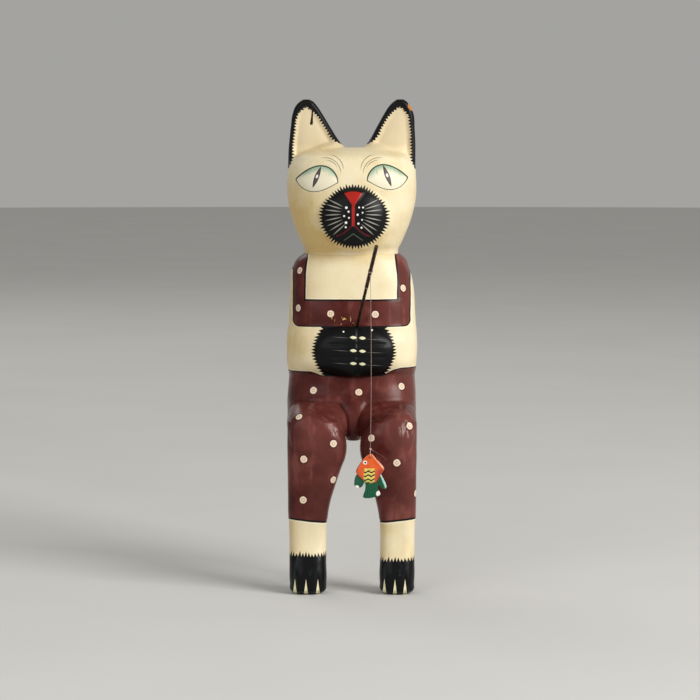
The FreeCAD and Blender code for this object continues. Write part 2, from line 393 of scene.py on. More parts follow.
@dataclass(frozen=True)
class Finish:
    """A varnished or bare finish: the numbers that are the same all over it."""

    name: str
    coat: float = 0.0
    coat_roughness: float = 0.12
    specular: float = 0.12
    bump: float = 1.0
    alpha: float = 1.0

    def material(self, paint: Callable[[Recipe], Coating]) -> bpy.types.Material:
        """Makes the material.

        Args:
            paint: Builds the coating on a recipe.

        Returns:
            The material with its nodes.
        """
        material = bpy.data.materials.new(self.name)
        material.use_nodes = True
        material.node_tree.nodes.clear()
        recipe = Recipe(material.node_tree)
        coating = paint(recipe)
        bump = recipe.node(
            "ShaderNodeBump", {}, {"Strength": self.bump, "Distance": MM, "Height": coating.height}
        )
        shader = recipe.node(
            "ShaderNodeBsdfPrincipled",
            {},
            {
                "Base Color": coating.colour,
                "Roughness": coating.rough,
                "Normal": bump,
                "Coat Weight": self.coat,
                "Coat Roughness": self.coat_roughness,
                "Specular IOR Level": self.specular,
                "Alpha": self.alpha,
            },
        )
        output = material.node_tree.nodes.new("ShaderNodeOutputMaterial")
        material.node_tree.links.new(shader.socket, output.inputs["Surface"])
        return material


# ---------------------------------------------------------------- grounds


def cream_ground(recipe: Recipe, yellowing_and_shade: Term | float) -> Coating:
    """Old cream paint: yellowed varnish in clouds, brush streaks, fine cracks and specks.

    Args:
        recipe: The material's recipe.
        yellowing_and_shade: Extra yellowing, partly painted shade, 0 to 1.

    Returns:
        The coating.
    """
    clouds = recipe.noise(38.0, 4.0)
    streaks = recipe.noise(5.0, 3.0, (1.0, 1.0, 0.12), 4.0)
    specks = recipe.noise(1.6, 2.0)
    cracks = recipe.cells(9.0, "DISTANCE_TO_EDGE")
    yellow = recipe.fade(clouds + (streaks - 0.5) * 0.35, 0.36, 0.78) * 0.42 + yellowing_and_shade
    colour = recipe.mix(recipe.fade(streaks, 0.45, 0.75) * 0.35, CREAM, CREAM_PALE)
    # The yellowed cream also lays the painted shade that callers pass in.
    colour = recipe.mix(yellow & 0.85, colour, CREAM_YELLOWED_AND_SHADED)
    dirt = recipe.over(specks, 0.74, 0.03) * 0.35
    colour = recipe.mix(dirt, colour, paint_colour(130, 104, 66))
    crack = recipe.under(cracks, 0.012, 0.01) * recipe.fade(clouds, 0.5, 0.7)
    colour = recipe.mix(crack * 0.25, colour, paint_colour(150, 122, 80))
    rough = 0.3 + clouds * 0.16 + specks * 0.06
    return Coating(recipe, colour, rough, streaks * 0.16 + clouds * 0.25 - crack * 0.04)


def maroon_colour(recipe: Recipe, painted_light: Term | float) -> Term:
    """Brushed maroon: deep and worn streaks down the piece, in clouds, and painted light.

    Args:
        recipe: The material's recipe.
        painted_light: Painted light, lighter maroon on the lit side and the knees, 0 to 1.

    Returns:
        The colour.
    """
    clouds = recipe.noise(26.0, 4.0, shift=9.0)
    strokes = recipe.noise(7.0, 3.0, (1.0, 1.0, 0.16), 2.0)
    colour = recipe.mix(recipe.fade(clouds, 0.35, 0.62) * 0.75, MAROON_DEEP, MAROON)
    # Random worn streaks and the painted light both lighten the maroon.
    light = recipe.fade(strokes + (clouds - 0.5) * 0.8, 0.5, 0.86) * 0.5 + painted_light
    return recipe.mix(light & 0.8, colour, MAROON_WORN_AND_LIT)


def spots(
    recipe: Recipe, coating: Coating, centres: Sequence[Sequence[float]], where: Term | float
) -> None:
    """Cream dots with a faint inner ring and a dark edge, at points on the surface.

    Args:
        recipe: The material's recipe.
        coating: The coating that they are laid on.
        centres: The points.
        where: 1 where dots may show.
    """
    near = recipe.from_point(centres[0])
    for centre in centres[1:]:
        near = near & recipe.from_point(centre)
    near = near + (recipe.noise(2.6, 1.0) - 0.5) * 0.9
    halo = recipe.fade(near, 6.4, 3.6) * 0.6 * where
    coating.lay(halo, MAROON_DEEP)
    coating.lay(recipe.under(near, 3.55, 0.22) * where, DOT, 0.12)
    ring = recipe.within(near, 1.2, 1.75, 0.25) * where
    coating.lay(ring * 0.8, DOT_RING)


# ---------------------------------------------------------------- carving in numpy


def ease(values: Array, low: float, high: float) -> Array:
    """Smooth step: 0 at low, 1 at high, 3t^2 - 2t^3 between, in either order of the two."""
    t = np.clip((values - low) / (high - low), 0, 1)
    return t * t * (3 - 2 * t)


def bell(values: Array, middle: float | Array, width: float) -> Array:
    """1 at the middle, falling off on both sides as exp(-((v - middle) / width)^2)."""
    return np.exp(-(((values - middle) / width) ** 2))


def smooth_table(keys: Array, rows: Array, at: Array) -> Array:
    """Reads a table between its keys along cubic Hermite curves with the rows' mean slopes.

    Args:
        keys: The rows' keys, rising.
        rows: The table, one row to a key.
        at: Where to read it.

    Returns:
        One row for each place in at.
    """
    slopes = np.gradient(rows, keys, axis=0)
    index = np.clip(np.searchsorted(keys, at, side="right") - 1, 0, len(keys) - 2)
    step = (keys[index + 1] - keys[index])[:, None]
    t = (at[:, None] - keys[index][:, None]) / step
    start = (2 * t**3 - 3 * t**2 + 1) * rows[index] + (t**3 - 2 * t**2 + t) * step * slopes[index]
    end = (3 * t**2 - 2 * t**3) * rows[index + 1] + (t**3 - t**2) * step * slopes[index + 1]
    return start + end


@dataclass(frozen=True)
class Skin:
    """Points in millimetres, and the faces between them."""

    points: Array
    faces: list[list[int]]

    def joined(self, *others: "Skin") -> "Skin":
        """This skin and the others as one, with no point shared."""
        points, faces = [self.points], list(self.faces)
        offset = len(self.points)
        for other in others:
            points.append(other.points)
            faces += [[corner + offset for corner in face] for face in other.faces]
            offset += len(other.points)
        return Skin(np.concatenate(points), faces)

    def turned_in(self) -> "Skin":
        """The same skin with its faces the other way round."""
        return Skin(self.points, [face[::-1] for face in self.faces])


def rolled_grid(grid: Array, capped: bool = True, looped: bool = False) -> Skin:
    """A grid of rows and columns rolled up so that its last column meets its first.

    Args:
        grid: Points by row, column and axis, with the columns anticlockwise seen from the last row.
        capped: Closes both ends with a point in the middle of the end row.
        looped: Joins the last row to the first instead.

    Returns:
        The closed skin, with its faces outwards.
    """
    rows, columns, _ = grid.shape
    numbers = np.arange(rows * columns).reshape(rows, columns)
    if looped:
        numbers = np.vstack([numbers, numbers[:1]])
    right = np.roll(numbers, -1, axis=1)
    quads = np.stack([numbers[:-1], right[:-1], right[1:], numbers[1:]], axis=-1).reshape(-1, 4)
    faces = quads.tolist()
    points = grid.reshape(-1, 3)
    if capped and not looped:
        middle = rows * columns
        points = np.concatenate([points, grid[[0, -1]].mean(axis=1)])
        faces += np.stack([right[0], numbers[0], np.full(columns, middle)], axis=-1).tolist()
        faces += np.stack([numbers[-1], right[-1], np.full(columns, middle + 1)], axis=-1).tolist()
    return Skin(points, faces)


def level_block(table: Sequence[Sequence[float]], step: float = 1.5, columns: int = 180) -> Skin:
    """A carved block from its level sections.

    Each section is a superellipse, |x/a|^p + |y/b|^p = 1, between a left and right X and a front
    and back Y, and the sections between the table's rows follow smooth curves.

    Args:
        table: Rows of Z, left, right, front, back and power.
        step: The height between two rows of points.
        columns: The points round a section.

    Returns:
        The closed block.
    """
    rows = np.asarray(sorted(table), float)
    levels = np.linspace(rows[0, 0], rows[-1, 0], max(4, int((rows[-1, 0] - rows[0, 0]) / step)))
    left, right, front, back, power = smooth_table(rows[:, 0], rows[:, 1:], levels).T[:, :, None]
    angle = np.linspace(0, 2 * np.pi, columns, endpoint=False)[None, :]
    across, along = np.cos(angle), np.sin(angle)
    reach = (np.abs(across) ** power + np.abs(along) ** power) ** (-1 / power)
    x = (left + right) / 2 + (right - left) / 2 * reach * across
    y = (front + back) / 2 + (back - front) / 2 * reach * along
    return rolled_grid(np.stack([x, y, np.broadcast_to(levels[:, None], x.shape)], axis=-1))


def upright_block(table: Sequence[Sequence[float]], step: float = 1.5) -> Skin:
    """A block from sections that face the front: rows of Y, left, right, bottom, top and power."""
    level = level_block(table, step)
    return Skin(level.points[:, [0, 2, 1]], level.faces).turned_in()


def ball_block(centre: Sequence[float], radii: Sequence[float], rows: int = 60) -> Skin:
    """An ellipsoid: rings at equal steps of latitude, x = a cos u cos v and so on."""
    latitude = np.linspace(-np.pi / 2 + 0.02, np.pi / 2 - 0.02, rows)[:, None]
    longitude = np.linspace(0, 2 * np.pi, rows * 2, endpoint=False)[None, :]
    unit = np.stack(
        [
            np.cos(latitude) * np.cos(longitude),
            np.cos(latitude) * np.sin(longitude),
            np.broadcast_to(np.sin(latitude), (rows, rows * 2)),
        ],
        axis=-1,
    )
    return rolled_grid(unit * np.asarray(radii, float) + np.asarray(centre, float))


def board(outline: Array, half: float, turns: int = 14) -> Skin:
    """A flat sawn piece with softened edges, in the X Z plane about Y = 0.

    Rings run from the middle of the front face over the edge to the middle of the back. A ring's
    share of the outline is sin(t)^0.35 and its depth is half times -cos(t) to the power 0.5.

    Args:
        outline: Points of X and Z round the piece.
        half: Half its thickness.
        turns: The number of rings.

    Returns:
        The closed piece.
    """
    sweep = np.linspace(0.06, np.pi - 0.06, turns * 2)[:, None, None]
    middle = outline.mean(axis=0)
    flat = middle + (outline - middle) * np.sin(sweep) ** 0.35
    depth = -np.sign(np.cos(sweep)) * np.abs(np.cos(sweep)) ** 0.5 * half
    depth = np.broadcast_to(depth, (*flat.shape[:2], 1))
    return rolled_grid(np.concatenate([flat[..., :1], depth, flat[..., 1:]], axis=-1))


def closed_curve(corners: Sequence[Sequence[float]], per_corner: int = 12) -> Array:
    """A smooth closed line through corners, by cubic Hermite curves with mean slopes."""
    knots = np.asarray(corners, float)
    wrapped = np.vstack([knots[-2:], knots, knots[:3]])
    at = np.linspace(2, len(knots) + 2, len(knots) * per_corner, endpoint=False)
    return smooth_table(np.arange(len(wrapped), dtype=float), wrapped, at)


def open_curve(corners: Sequence[Sequence[float]], count: int) -> Array:
    """A smooth open line by a quadratic B-spline, whose ends are the end corners.

    Each corner's share is the B-spline weight of order three at that place, summed by de Boor's
    rule over the whole array of places at once.

    Args:
        corners: The control points.
        count: How many points to give.

    Returns:
        The points along the line.
    """
    knots_in = np.asarray(corners, float)
    total = len(knots_in)
    knots = np.concatenate([[0, 0], np.arange(total - 1), [total - 2, total - 2]]).astype(float)
    at = np.linspace(0, total - 2 - 1e-9, count)[:, None]
    share = ((at >= knots[:-1]) & (at < knots[1:])).astype(float)
    for order in (1, 2):
        span = knots[order:-1] - knots[: -order - 1]
        next_span = knots[order + 1 :] - knots[1:-order]
        empty = (count, len(span))
        rise = np.divide(at - knots[: -order - 1], span, out=np.zeros(empty), where=span > 0)
        fall = np.divide(
            knots[order + 1 :] - at, next_span, out=np.zeros(empty), where=next_span > 0
        )
        share = rise * share[:, :-1] + fall * share[:, 1:]
    return share @ knots_in


def tube(path: Array, radii: Array | float, sides: int = TUBE_SIDES, looped: bool = False) -> Skin:
    """A round section carried along a path.

    The section's two axes are the cross products of the path's tangent with one fixed direction,
    so a section is centre + r cos(a) side + r sin(a) up.

    Args:
        path: The path's points.
        radii: The radius at each point, or one for all.
        sides: The points round a section.
        looped: Whether the path closes on itself.

    Returns:
        The closed tube.
    """
    if looped:
        tangent = np.roll(path, -1, axis=0) - np.roll(path, 1, axis=0)
    else:
        tangent = np.gradient(path, axis=0)
    tangent /= np.linalg.norm(tangent, axis=1, keepdims=True)
    spread = np.abs(tangent).mean(axis=0)
    fixed = np.eye(3)[np.argmin(spread)]
    side = np.cross(tangent, fixed)
    side /= np.linalg.norm(side, axis=1, keepdims=True)
    up = np.cross(tangent, side)
    angle = np.linspace(0, 2 * np.pi, sides, endpoint=False)[None, :, None]
    reach = np.broadcast_to(np.asarray(radii, float), (len(path),))[:, None, None]
    ring = path[:, None] + reach * (np.cos(angle) * side[:, None] + np.sin(angle) * up[:, None])
    return rolled_grid(ring, looped=looped)


def outline_distance(places: Array, outline: Array, closed: bool = True) -> tuple[Array, Array]:
    """How far flat places are from a line, and where along it their nearest point is.

    Args:
        places: Points of two numbers.
        outline: The line's points.
        closed: Whether the line closes, so that the distance is negative outside it.

    Returns:
        The distances, and the lengths along the line.
    """
    start = outline if closed else outline[:-1]
    end = np.roll(outline, -1, axis=0) if closed else outline[1:]
    run = end - start
    length = np.linalg.norm(run, axis=1)
    offset = places[:, None] - start[None]
    share = np.clip((offset * run).sum(-1) / (length**2), 0, 1)
    gap = np.linalg.norm(offset - share[..., None] * run, axis=-1)
    nearest = gap.argmin(axis=1)
    pick = np.arange(len(places))
    distance = gap[pick, nearest]
    along = (np.cumsum(length) - length)[nearest] + share[pick, nearest] * length[nearest]
    if closed:
        x, z = places[:, None, 0], places[:, None, 1]
        spans = (start[:, 1] > z) != (end[:, 1] > z)
        rise = np.where(run[:, 1] == 0, 1e-9, run[:, 1])
        crossing = start[:, 0] + (z - start[:, 1]) * run[:, 0] / rise
        inside = (spans & (x < crossing)).sum(axis=1) % 2 == 1
        distance = np.where(inside, distance, -distance)
    return distance, along


def mesh_from(name: str, skin: Skin) -> bpy.types.Mesh:
    """A Blender mesh in metres from a skin in millimetres, smooth all over."""
    mesh = bpy.data.meshes.new(name)
    mesh.from_pydata((skin.points * MM).tolist(), [], skin.faces)
    mesh.polygons.foreach_set("use_smooth", np.ones(len(mesh.polygons), bool))
    mesh.update()
    return mesh


def keep_numbers(mesh: bpy.types.Mesh, name: str, values: Array) -> None:
    """Keeps one number at each point of a mesh, for the paint."""
    layer = mesh.attributes.new(name, "FLOAT", "POINT")
    layer.data.foreach_set("value", values.astype(np.float32))


def placed(name: str, data: bpy.types.ID) -> bpy.types.Object:
    """A new object in the scene, at the origin."""
    made = bpy.data.objects.new(name, data)
    bpy.context.scene.collection.objects.link(made)
    return made


def applied(
    mesh: bpy.types.Mesh, modifiers: Sequence[tuple[str, dict[str, object]]]
) -> bpy.types.Mesh:
    """A mesh with modifiers applied to it.

    Args:
        mesh: The mesh.
        modifiers: Each one's type and settings, in order.

    Returns:
        The new mesh. The old one is removed.
    """
    bench = placed("bench", mesh)
    for kind, settings in modifiers:
        modifier = bench.modifiers.new(kind.lower(), kind)
        for name, value in settings.items():
            setattr(modifier, name, value)
    graph = bpy.context.evaluated_depsgraph_get()
    made = bpy.data.meshes.new_from_object(bench.evaluated_get(graph))
    bpy.data.objects.remove(bench)
    bpy.data.meshes.remove(mesh)
    made.polygons.foreach_set("use_smooth", np.ones(len(made.polygons), bool))
    return made


class Carving:
    """A piece on the bench: one skin, with its points and outward normals as arrays."""

    def __init__(self, name: str, blocks: Sequence[Skin], voxel: float, passes: int) -> None:
        """Merges the blocks to one skin and softens it.

        Args:
            name: The piece's name.
            blocks: The overlapping blocks.
            voxel: The size of the new skin's faces.
            passes: How many times it is softened.
        """
        self.name = name
        rough = mesh_from(name, blocks[0].joined(*blocks[1:]))
        remesh = ("REMESH", {"mode": "VOXEL", "voxel_size": voxel * MM})
        soften = ("SMOOTH", {"factor": 0.5, "iterations": passes})
        self.mesh = applied(rough, [remesh, soften])
        self.read()

    def read(self) -> None:
        """Reads the points and normals from the mesh."""
        count = len(self.mesh.vertices)
        self.points = np.empty(count * 3)
        self.mesh.vertices.foreach_get("co", self.points)
        self.points = self.points.reshape(-1, 3) / MM
        self.normals = np.empty(count * 3)
        self.mesh.vertices.foreach_get("normal", self.normals)
        self.normals = self.normals.reshape(-1, 3)

    def move(self, offsets: Array) -> None:
        """Moves every point by its offset."""
        self.mesh.vertices.foreach_set("co", ((self.points + offsets) * MM).ravel())
        self.mesh.update()
        self.read()

    def push(self, heights: Array) -> None:
        """Moves every point out along its normal by its height."""
        self.move(self.normals * heights[:, None])

    def roughen(self, depth: float, size: float) -> None:
        """The knife's unevenness: a sum of slow sine waves in seeded directions, along the normals.

        Args:
            depth: The most that it moves a point.
            size: The length of the waves.
        """
        chance = np.random.default_rng(SEED)
        waves = chance.normal(size=(9, 3)) / size
        phases = chance.uniform(0, 2 * np.pi, 9)
        self.push(np.sin(self.points @ waves.T + phases).mean(axis=1) * depth * 1.8)

    def note(self, name: str, values: Array) -> None:
        """Keeps one number at each point, for the paint."""
        keep_numbers(self.mesh, name, values)

    def surface_points(
        self, places: Sequence[tuple[float, float]], facing: Sequence[float]
    ) -> list[list[float]]:
        """The points of the surface at flat places, seen along one axis.

        Args:
            places: Two numbers each: X and Z seen from the front or back, Y and Z from a side.
            facing: The direction that the surface faces.

        Returns:
            The nearest surface point for each place.
        """
        toward = np.asarray(facing, float)
        flat = self.points[:, [0, 2]] if abs(toward[1]) > 0.5 else self.points[:, [1, 2]]
        seen = self.normals @ toward > 0.12
        gaps = np.linalg.norm(flat[:, None] - np.asarray(places)[None], axis=-1)
        gaps = np.where(seen[:, None], gaps, 1e6)
        return self.points[gaps.argmin(axis=0)].tolist()

    def drill(self, start: Array, end: Array, radius: float) -> None:
        """Drills a round hole from start to end."""
        path = np.linspace(start, end, 3)
        cutter_mesh = mesh_from("cutter", tube(path, radius, 32))
        cutter = placed("cutter", cutter_mesh)
        settings = {"operation": "DIFFERENCE", "solver": "MANIFOLD", "object": cutter}
        self.mesh = applied(self.mesh, [("BOOLEAN", settings)])
        bpy.data.objects.remove(cutter)
        bpy.data.meshes.remove(cutter_mesh)
        self.read()

    def shown(
        self, body: Body, slot: str, nodes: Sequence[str], material: bpy.types.Material
    ) -> bpy.types.Object:
        """Puts the finished piece in the scene. See show()."""
        return show(self.name, self.mesh, body, nodes, material)


def show(
    name: str,
    data: bpy.types.Mesh | bpy.types.Curve,
    body: Body,
    nodes: Sequence[str],
    material: bpy.types.Material,
) -> bpy.types.Object:
    """Puts a finished piece in the scene.

    Args:
        name: The piece's name.
        data: Its mesh or curve.
        body: The body that it moves with.
        nodes: The CAD nodes that it stands for.
        material: Its material.

    Returns:
        The piece.
    """
    piece = placed(name, data)
    data.name = name
    data.materials.clear()
    data.materials.append(material)
    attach(piece, body.value)
    if nodes:
        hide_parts(*nodes)
    return piece


def pivot(joint: str) -> Array:
    """Where a joint of the part turns, in millimetres."""
    found = next(row for row in frame["joints"] if row["name"] == joint)
    return np.array(found["pos_m"]) / MM


# ---------------------------------------------------------------- studio


@dataclass
class Studio:
    """Camera, soft lights and the pale floor."""

    eye: tuple[float, float, float] = (-2.08, -2808.0, 316.0)
    tilt_degrees: float = 4.605
    lens: float = 139.73
    floor_radius: float = 14000.0
    floor_gap: float = 0.3

    def camera(self) -> None:
        """A long lens in front of the cat, a little above it, looking slightly down."""
        data = bpy.data.cameras.new("camera")
        data.lens = self.lens
        data.sensor_width = SENSOR_WIDTH
        data.clip_end = 100.0
        camera = placed("camera", data)
        camera.location = Vector(self.eye) * MM
        camera.rotation_euler = (math.radians(90 - self.tilt_degrees), 0, 0)
        bpy.context.scene.camera = camera

    def lamp(
        self, name: str, place: Vector, size: float, watts: float, colour: Sequence[float]
    ) -> None:
        """A square soft box that faces the cat.

        Args:
            name: The lamp's name.
            place: Where it stands, in metres.
            size: Its side, in metres.
            watts: Its power.
            colour: Its colour.
        """
        data = bpy.data.lights.new(name, "AREA")
        data.size = size
        data.energy = watts
        data.color = colour
        lamp = placed(name, data)
        lamp.location = place
        lamp.rotation_mode = "QUATERNION"
        lamp.rotation_quaternion = (Vector((0, 0, 0.1)) - place).to_track_quat("-Z", "Y")

    def floor(self) -> None:
        """A round pale floor: rings of radius R t^3, so that it is fine near the cat."""
        share = np.linspace(0.02, 1, 60)[:, None] ** 3
        angle = np.linspace(0, 2 * np.pi, 96, endpoint=False)[None, :]
        level = CAD_BOX[0].z / MM - self.floor_gap
        x = self.floor_radius * share * np.cos(angle)
        y = self.floor_radius * share * np.sin(angle)
        grid = np.stack([x, y, np.full(x.shape, level)], axis=-1)
        mesh = mesh_from("floor", rolled_grid(grid, capped=False).turned_in())
        floor = placed("floor", mesh)
        finish = Finish("pale_floor", bump=0.3, specular=0.0)
        mesh.materials.append(finish.material(self.floor_paint))

    @staticmethod
    def floor_paint(recipe: Recipe) -> Coating:
        """Pale matt floor with the slightest cloud."""
        cloud = recipe.noise(260.0, 3.0)
        colour = recipe.mix(cloud, paint_colour(214, 213, 210), paint_colour(222, 221, 218))
        return Coating(recipe, colour, cloud * 0.1 + 0.7, cloud * 0.2)

    def lights(self) -> None:
        """A large key from the viewer's right, a weak fill from the left, and an even surround."""
        self.lamp("key", Vector((3.0, -2.35, 2.0)), 2.1, 150.0, (1.0, 0.99, 0.97))
        self.lamp("fill", Vector((-2.0, -3.6, 2.0)), 2.6, 30.0, (0.98, 0.99, 1.0))
        self.lamp("back", Vector((-1.8, 3.2, 3.0)), 2.4, 24.0, (1.0, 0.99, 0.98))
        world = bpy.data.worlds.new("surround")
        world.use_nodes = True
        background = world.node_tree.nodes["Background"]
        background.inputs["Color"].default_value = paint_colour(206, 205, 202)
        background.inputs["Strength"].default_value = 0.6
        bpy.context.scene.world = world
        bpy.context.scene.view_settings.view_transform = "Standard"


# ---------------------------------------------------------------- fishing line


@dataclass
class FishingLine:
    """The clear line between its two knots, whose points repeat the part's own route."""

    length_m: float = 0.169
    diameter_m: float = 0.0005
    route_m: tuple[tuple[float, float, float], ...] = (
        (0.01805, -0.1339, 0.172567),
        (0.01975, -0.1339, 0.072),
        (0.01805, -0.1339, 0.0036),
    )

    def build(self) -> bpy.types.Object:
        """Makes the line as one open smooth spline."""
        curve = bpy.data.curves.new("fishing_line", "CURVE")
        curve.dimensions = "3D"
        curve.bevel_depth = self.diameter_m / 2
        curve.bevel_resolution = 2
        curve.resolution_u = 24
        curve.use_fill_caps = True
        spline = curve.splines.new("NURBS")
        spline.points.add(len(self.route_m) - 1)
        for point, place in zip(spline.points, self.route_m):
            point.co = (*place, 1.0)
        spline.order_u = 3
        spline.use_endpoint_u = True
        finish = Finish("clear_nylon", coat=0.3, coat_roughness=0.1, bump=0.2, alpha=0.72)
        material = finish.material(self.paint)
        return show("line", curve, Body.LINE, ["fishing_line"], material)

    @staticmethod
    def paint(recipe: Recipe) -> Coating:
        """Clear nylon that looks whitish, a little pink where it is stretched."""
        cloud = recipe.noise(6.0, 2.0)
        colour = recipe.mix(cloud, paint_colour(196, 170, 162), paint_colour(160, 128, 120))
        return Coating(recipe, colour, cloud * 0.1 + 0.25, cloud * 0.02)


# ---------------------------------------------------------------- torso


@dataclass
class Torso:
    """Body block with straps, bib, folded arms, joined paws and the top of the trousers."""

    trunk: tuple[tuple[float, ...], ...] = (
        (0.4, -63.0, 63.0, -42.0, 48.0, 3.4),
        (4, -65.2, 65.2, -44.0, 50.3, 3.5),
        (25, -66.8, 66.3, -44, 53, 3.3),
        (42.2, -66.8, 66.2, -52.5, 53, 3.2),
        (47, -66.6, 66.0, -50.0, 53, 3.2),
        (54, -66.1, 65.6, -47.8, 53, 3.1),
        (62, -65.3, 65.0, -46.6, 53, 3.1),
        (90, -66, 66, -49, 50, 3.0),
        (130, -64.3, 64.8, -47, 46, 3.0),
        (160, -63, 62.5, -43, 43, 2.9),
        (177, -61, 58.2, -40, 41, 2.8),
        (186, -55.5, 54, -38.4, 40, 2.7),
        (190.6, -49.3, 48.3, -37, 39, 2.6),
    )
    forearms: tuple[tuple[float, ...], ...] = (
        (67, -64.8, 64.6, -44, 38, 3.0),
        (71, -65.8, 65.4, -49, 40, 3.0),
        (78, -66.4, 66.0, -54.5, 40, 3.0),
        (92, -66.8, 66.6, -56, 40, 3.0),
        (106, -66.6, 66.5, -54.5, 40, 3.0),
        (115, -65.4, 65.7, -50, 40, 3.0),
        (120, -64.0, 64.6, -46, 38, 3.0),
    )
    paw_centre: tuple[float, float, float] = (2.0, -47.6, 92.5)
    paw_radii: tuple[float, float, float] = (44.0, 14.2, 27.0)
    claw_levels: tuple[float, float, float] = (107.0, 93.8, 80.6)
    paw_gap_x: float = 5.9
    strap_inner: float = 47.2
    strap_outer: float = 60.0
    bib_top: float = 144.6
    bib_bottom: float = 117.6
    waist: float = 67.0
    arm_back_y: float = 24.0
    lap_height: float = 35.0
    lap_y: float = -40.0
    wedge: tuple[tuple[float, ...], ...] = (
        (1.0, -5.5, 8.0, -52.0, -30.0, 2.6),
        (6.0, -7.5, 10.0, -57.0, -30.0, 2.8),
        (22.0, -9.0, 11.5, -59.0, -30.0, 3.0),
        (36.0, -15.0, 17.0, -57.0, -30.0, 2.8),
        (46.0, -20.0, 22.0, -51.5, -30.0, 2.5),
        (56.0, -18.0, 20.0, -47.0, -30.0, 2.4),
        (62.0, -8.0, 10.0, -43.0, -30.0, 2.2),
    )
    socket_radius: float = 1.7

    def carve(self) -> Carving:
        """Merges the blocks, cuts the fingers, sets the arms off and drills the rod's socket."""
        trunk = level_block(self.trunk)
        lap = (trunk.points[:, 2] < self.lap_height) & (trunk.points[:, 1] < self.lap_y)
        trunk.points[lap, 1] = self.lap_y
        carving = Carving(
            "torso",
            [
                trunk,
                level_block(self.wedge),
                level_block(self.forearms),
                ball_block(self.paw_centre, self.paw_radii),
            ],
            1.25,
            5,
        )
        x, y, z = carving.points.T
        front = ease(-y, 18, 34)
        from_gap = np.abs(x - self.paw_gap_x)
        paws = front * ease(from_gap, 34, 24) * ease(z, 68, 74) * ease(z, 119, 113)
        gap = -1.3 * bell(from_gap, 0, 1.3)
        upper = (self.claw_levels[0] + self.claw_levels[1]) / 2
        lower = (self.claw_levels[1] + self.claw_levels[2]) / 2
        knuckles = -0.9 * (bell(z, upper, 1.5) + bell(z, lower, 1.5))
        arms = ease(np.abs(x), self.strap_outer - 0.4, self.strap_outer + 1.2) * ease(z, 179, 173)
        arms *= ease(y, self.arm_back_y + 1, self.arm_back_y - 1) * ease(z, 64, 68)
        behind = -0.7 * bell(y, self.arm_back_y + 1.5, 1.6) * ease(z, 66, 72) * ease(z, 180, 172)
        behind *= ease(np.abs(x), 40, 48)
        bib = 0.45 * front * ease(z, self.bib_bottom - 0.6, self.bib_bottom + 0.4)
        bib *= ease(z, self.bib_top + 0.6, self.bib_top - 0.4)
        carving.push(paws * (gap + knuckles) + arms * 0.45 + behind + bib)
        carving.roughen(0.22, 9.0)
        along = rod_direction()
        exit_point = np.array(ROD_EXIT)
        carving.drill(exit_point - along * ROD_INSIDE, exit_point + along * 12, self.socket_radius)
        return carving

    def dots(self, carving: Carving) -> list[list[float]]:
        """The places of the dots on the straps, the bib and the trousers, all round."""
        front = [(-21.8, 130), (23.9, 130), (-53.4, 173.7), (-55.0, 136.2), (52.2, 156.3)]
        front += [(-39.5, 52.1), (7.3, 50.2), (50.9, 55.8), (-14.0, 27.0)]
        back = [(-24, 128), (24, 131), (-54, 152), (54, 166), (-53, 96), (52, 104), (0, 105)]
        back += [(-30, 60), (29, 56), (0, 78), (-44, 24), (44, 20), (-20, 34), (24, 30)]
        sides = [(4, 50), (20, 30), (32, 56), (8, 14), (38, 12)]
        found = carving.surface_points(front, (0, -1, 0)) + carving.surface_points(back, (0, 1, 0))
        found += carving.surface_points(sides, (-1, 0, 0))
        return found + carving.surface_points([(y + 4, z + 3) for y, z in sides], (1, 0, 0))

    def build(self) -> bpy.types.Object:
        """Carves and paints the torso."""
        carving = self.carve()
        dots = self.dots(carving)
        finish = Finish("torso_paint", coat=0.12, coat_roughness=0.2)
        material = finish.material(lambda recipe: self.paint(recipe, dots))
        return carving.shown(Body.FIGURE, "torso_paint", ["torso"], material)

    def paint(self, recipe: Recipe, dots: Sequence[Sequence[float]]) -> Coating:
        """Cream body, maroon dungarees edged in black, black paws with cream claws.

        Args:
            recipe: The material's recipe.
            dots: The dots' centres.

        Returns:
            The coating.
        """
        x, y, z = recipe.axes()
        wander = (recipe.noise(24.0, 1.0, shift=3.0) - 0.5) * 2.6
        front = recipe.under(y, -8.0, 1.0)
        # Painted shade: the shaded left side and the neck under the chin are yellowed.
        yellowing_and_shade = recipe.fade(x, 10.0, -64.0) * 0.28 + recipe.fade(z, 176.0, 192.0) * 0.25
        coating = cream_ground(recipe, yellowing_and_shade)

        wide = abs(x + 0.6) + wander * 0.7
        dungarees, edge, panel, outer = self.dungarees(recipe, wide, y, z, wander)
        # Painted light: the maroon is lighter towards the lit right side.
        painted_light = recipe.fade(x, 10.0, 62.0) * 0.32
        coating.lay(dungarees, maroon_colour(recipe, painted_light), 0.1, 0.27)
        opening = recipe.under(abs(panel - 0.35), 0.85, 0.2) * recipe.over(outer, 1.2, 0.3) * front
        line = recipe.under(abs(edge), 0.58, 0.2) | opening
        coating.lay(line, BLACK, -0.05)
        # Painted highlight: a broken pale band just outside the black edge line.
        light = recipe.within(edge, -1.7, -0.75, 0.2)
        light = light * recipe.over(recipe.noise(8.0, 2.0), 0.44, 0.05)
        coating.lay(light * 0.5, CREAM_PALE)
        spots(recipe, coating, dots, recipe.over(edge, 0.8, 0.2))
        self.scratches(recipe, coating, x, z, front)
        self.paws(recipe, coating, x, z, front)
        return coating

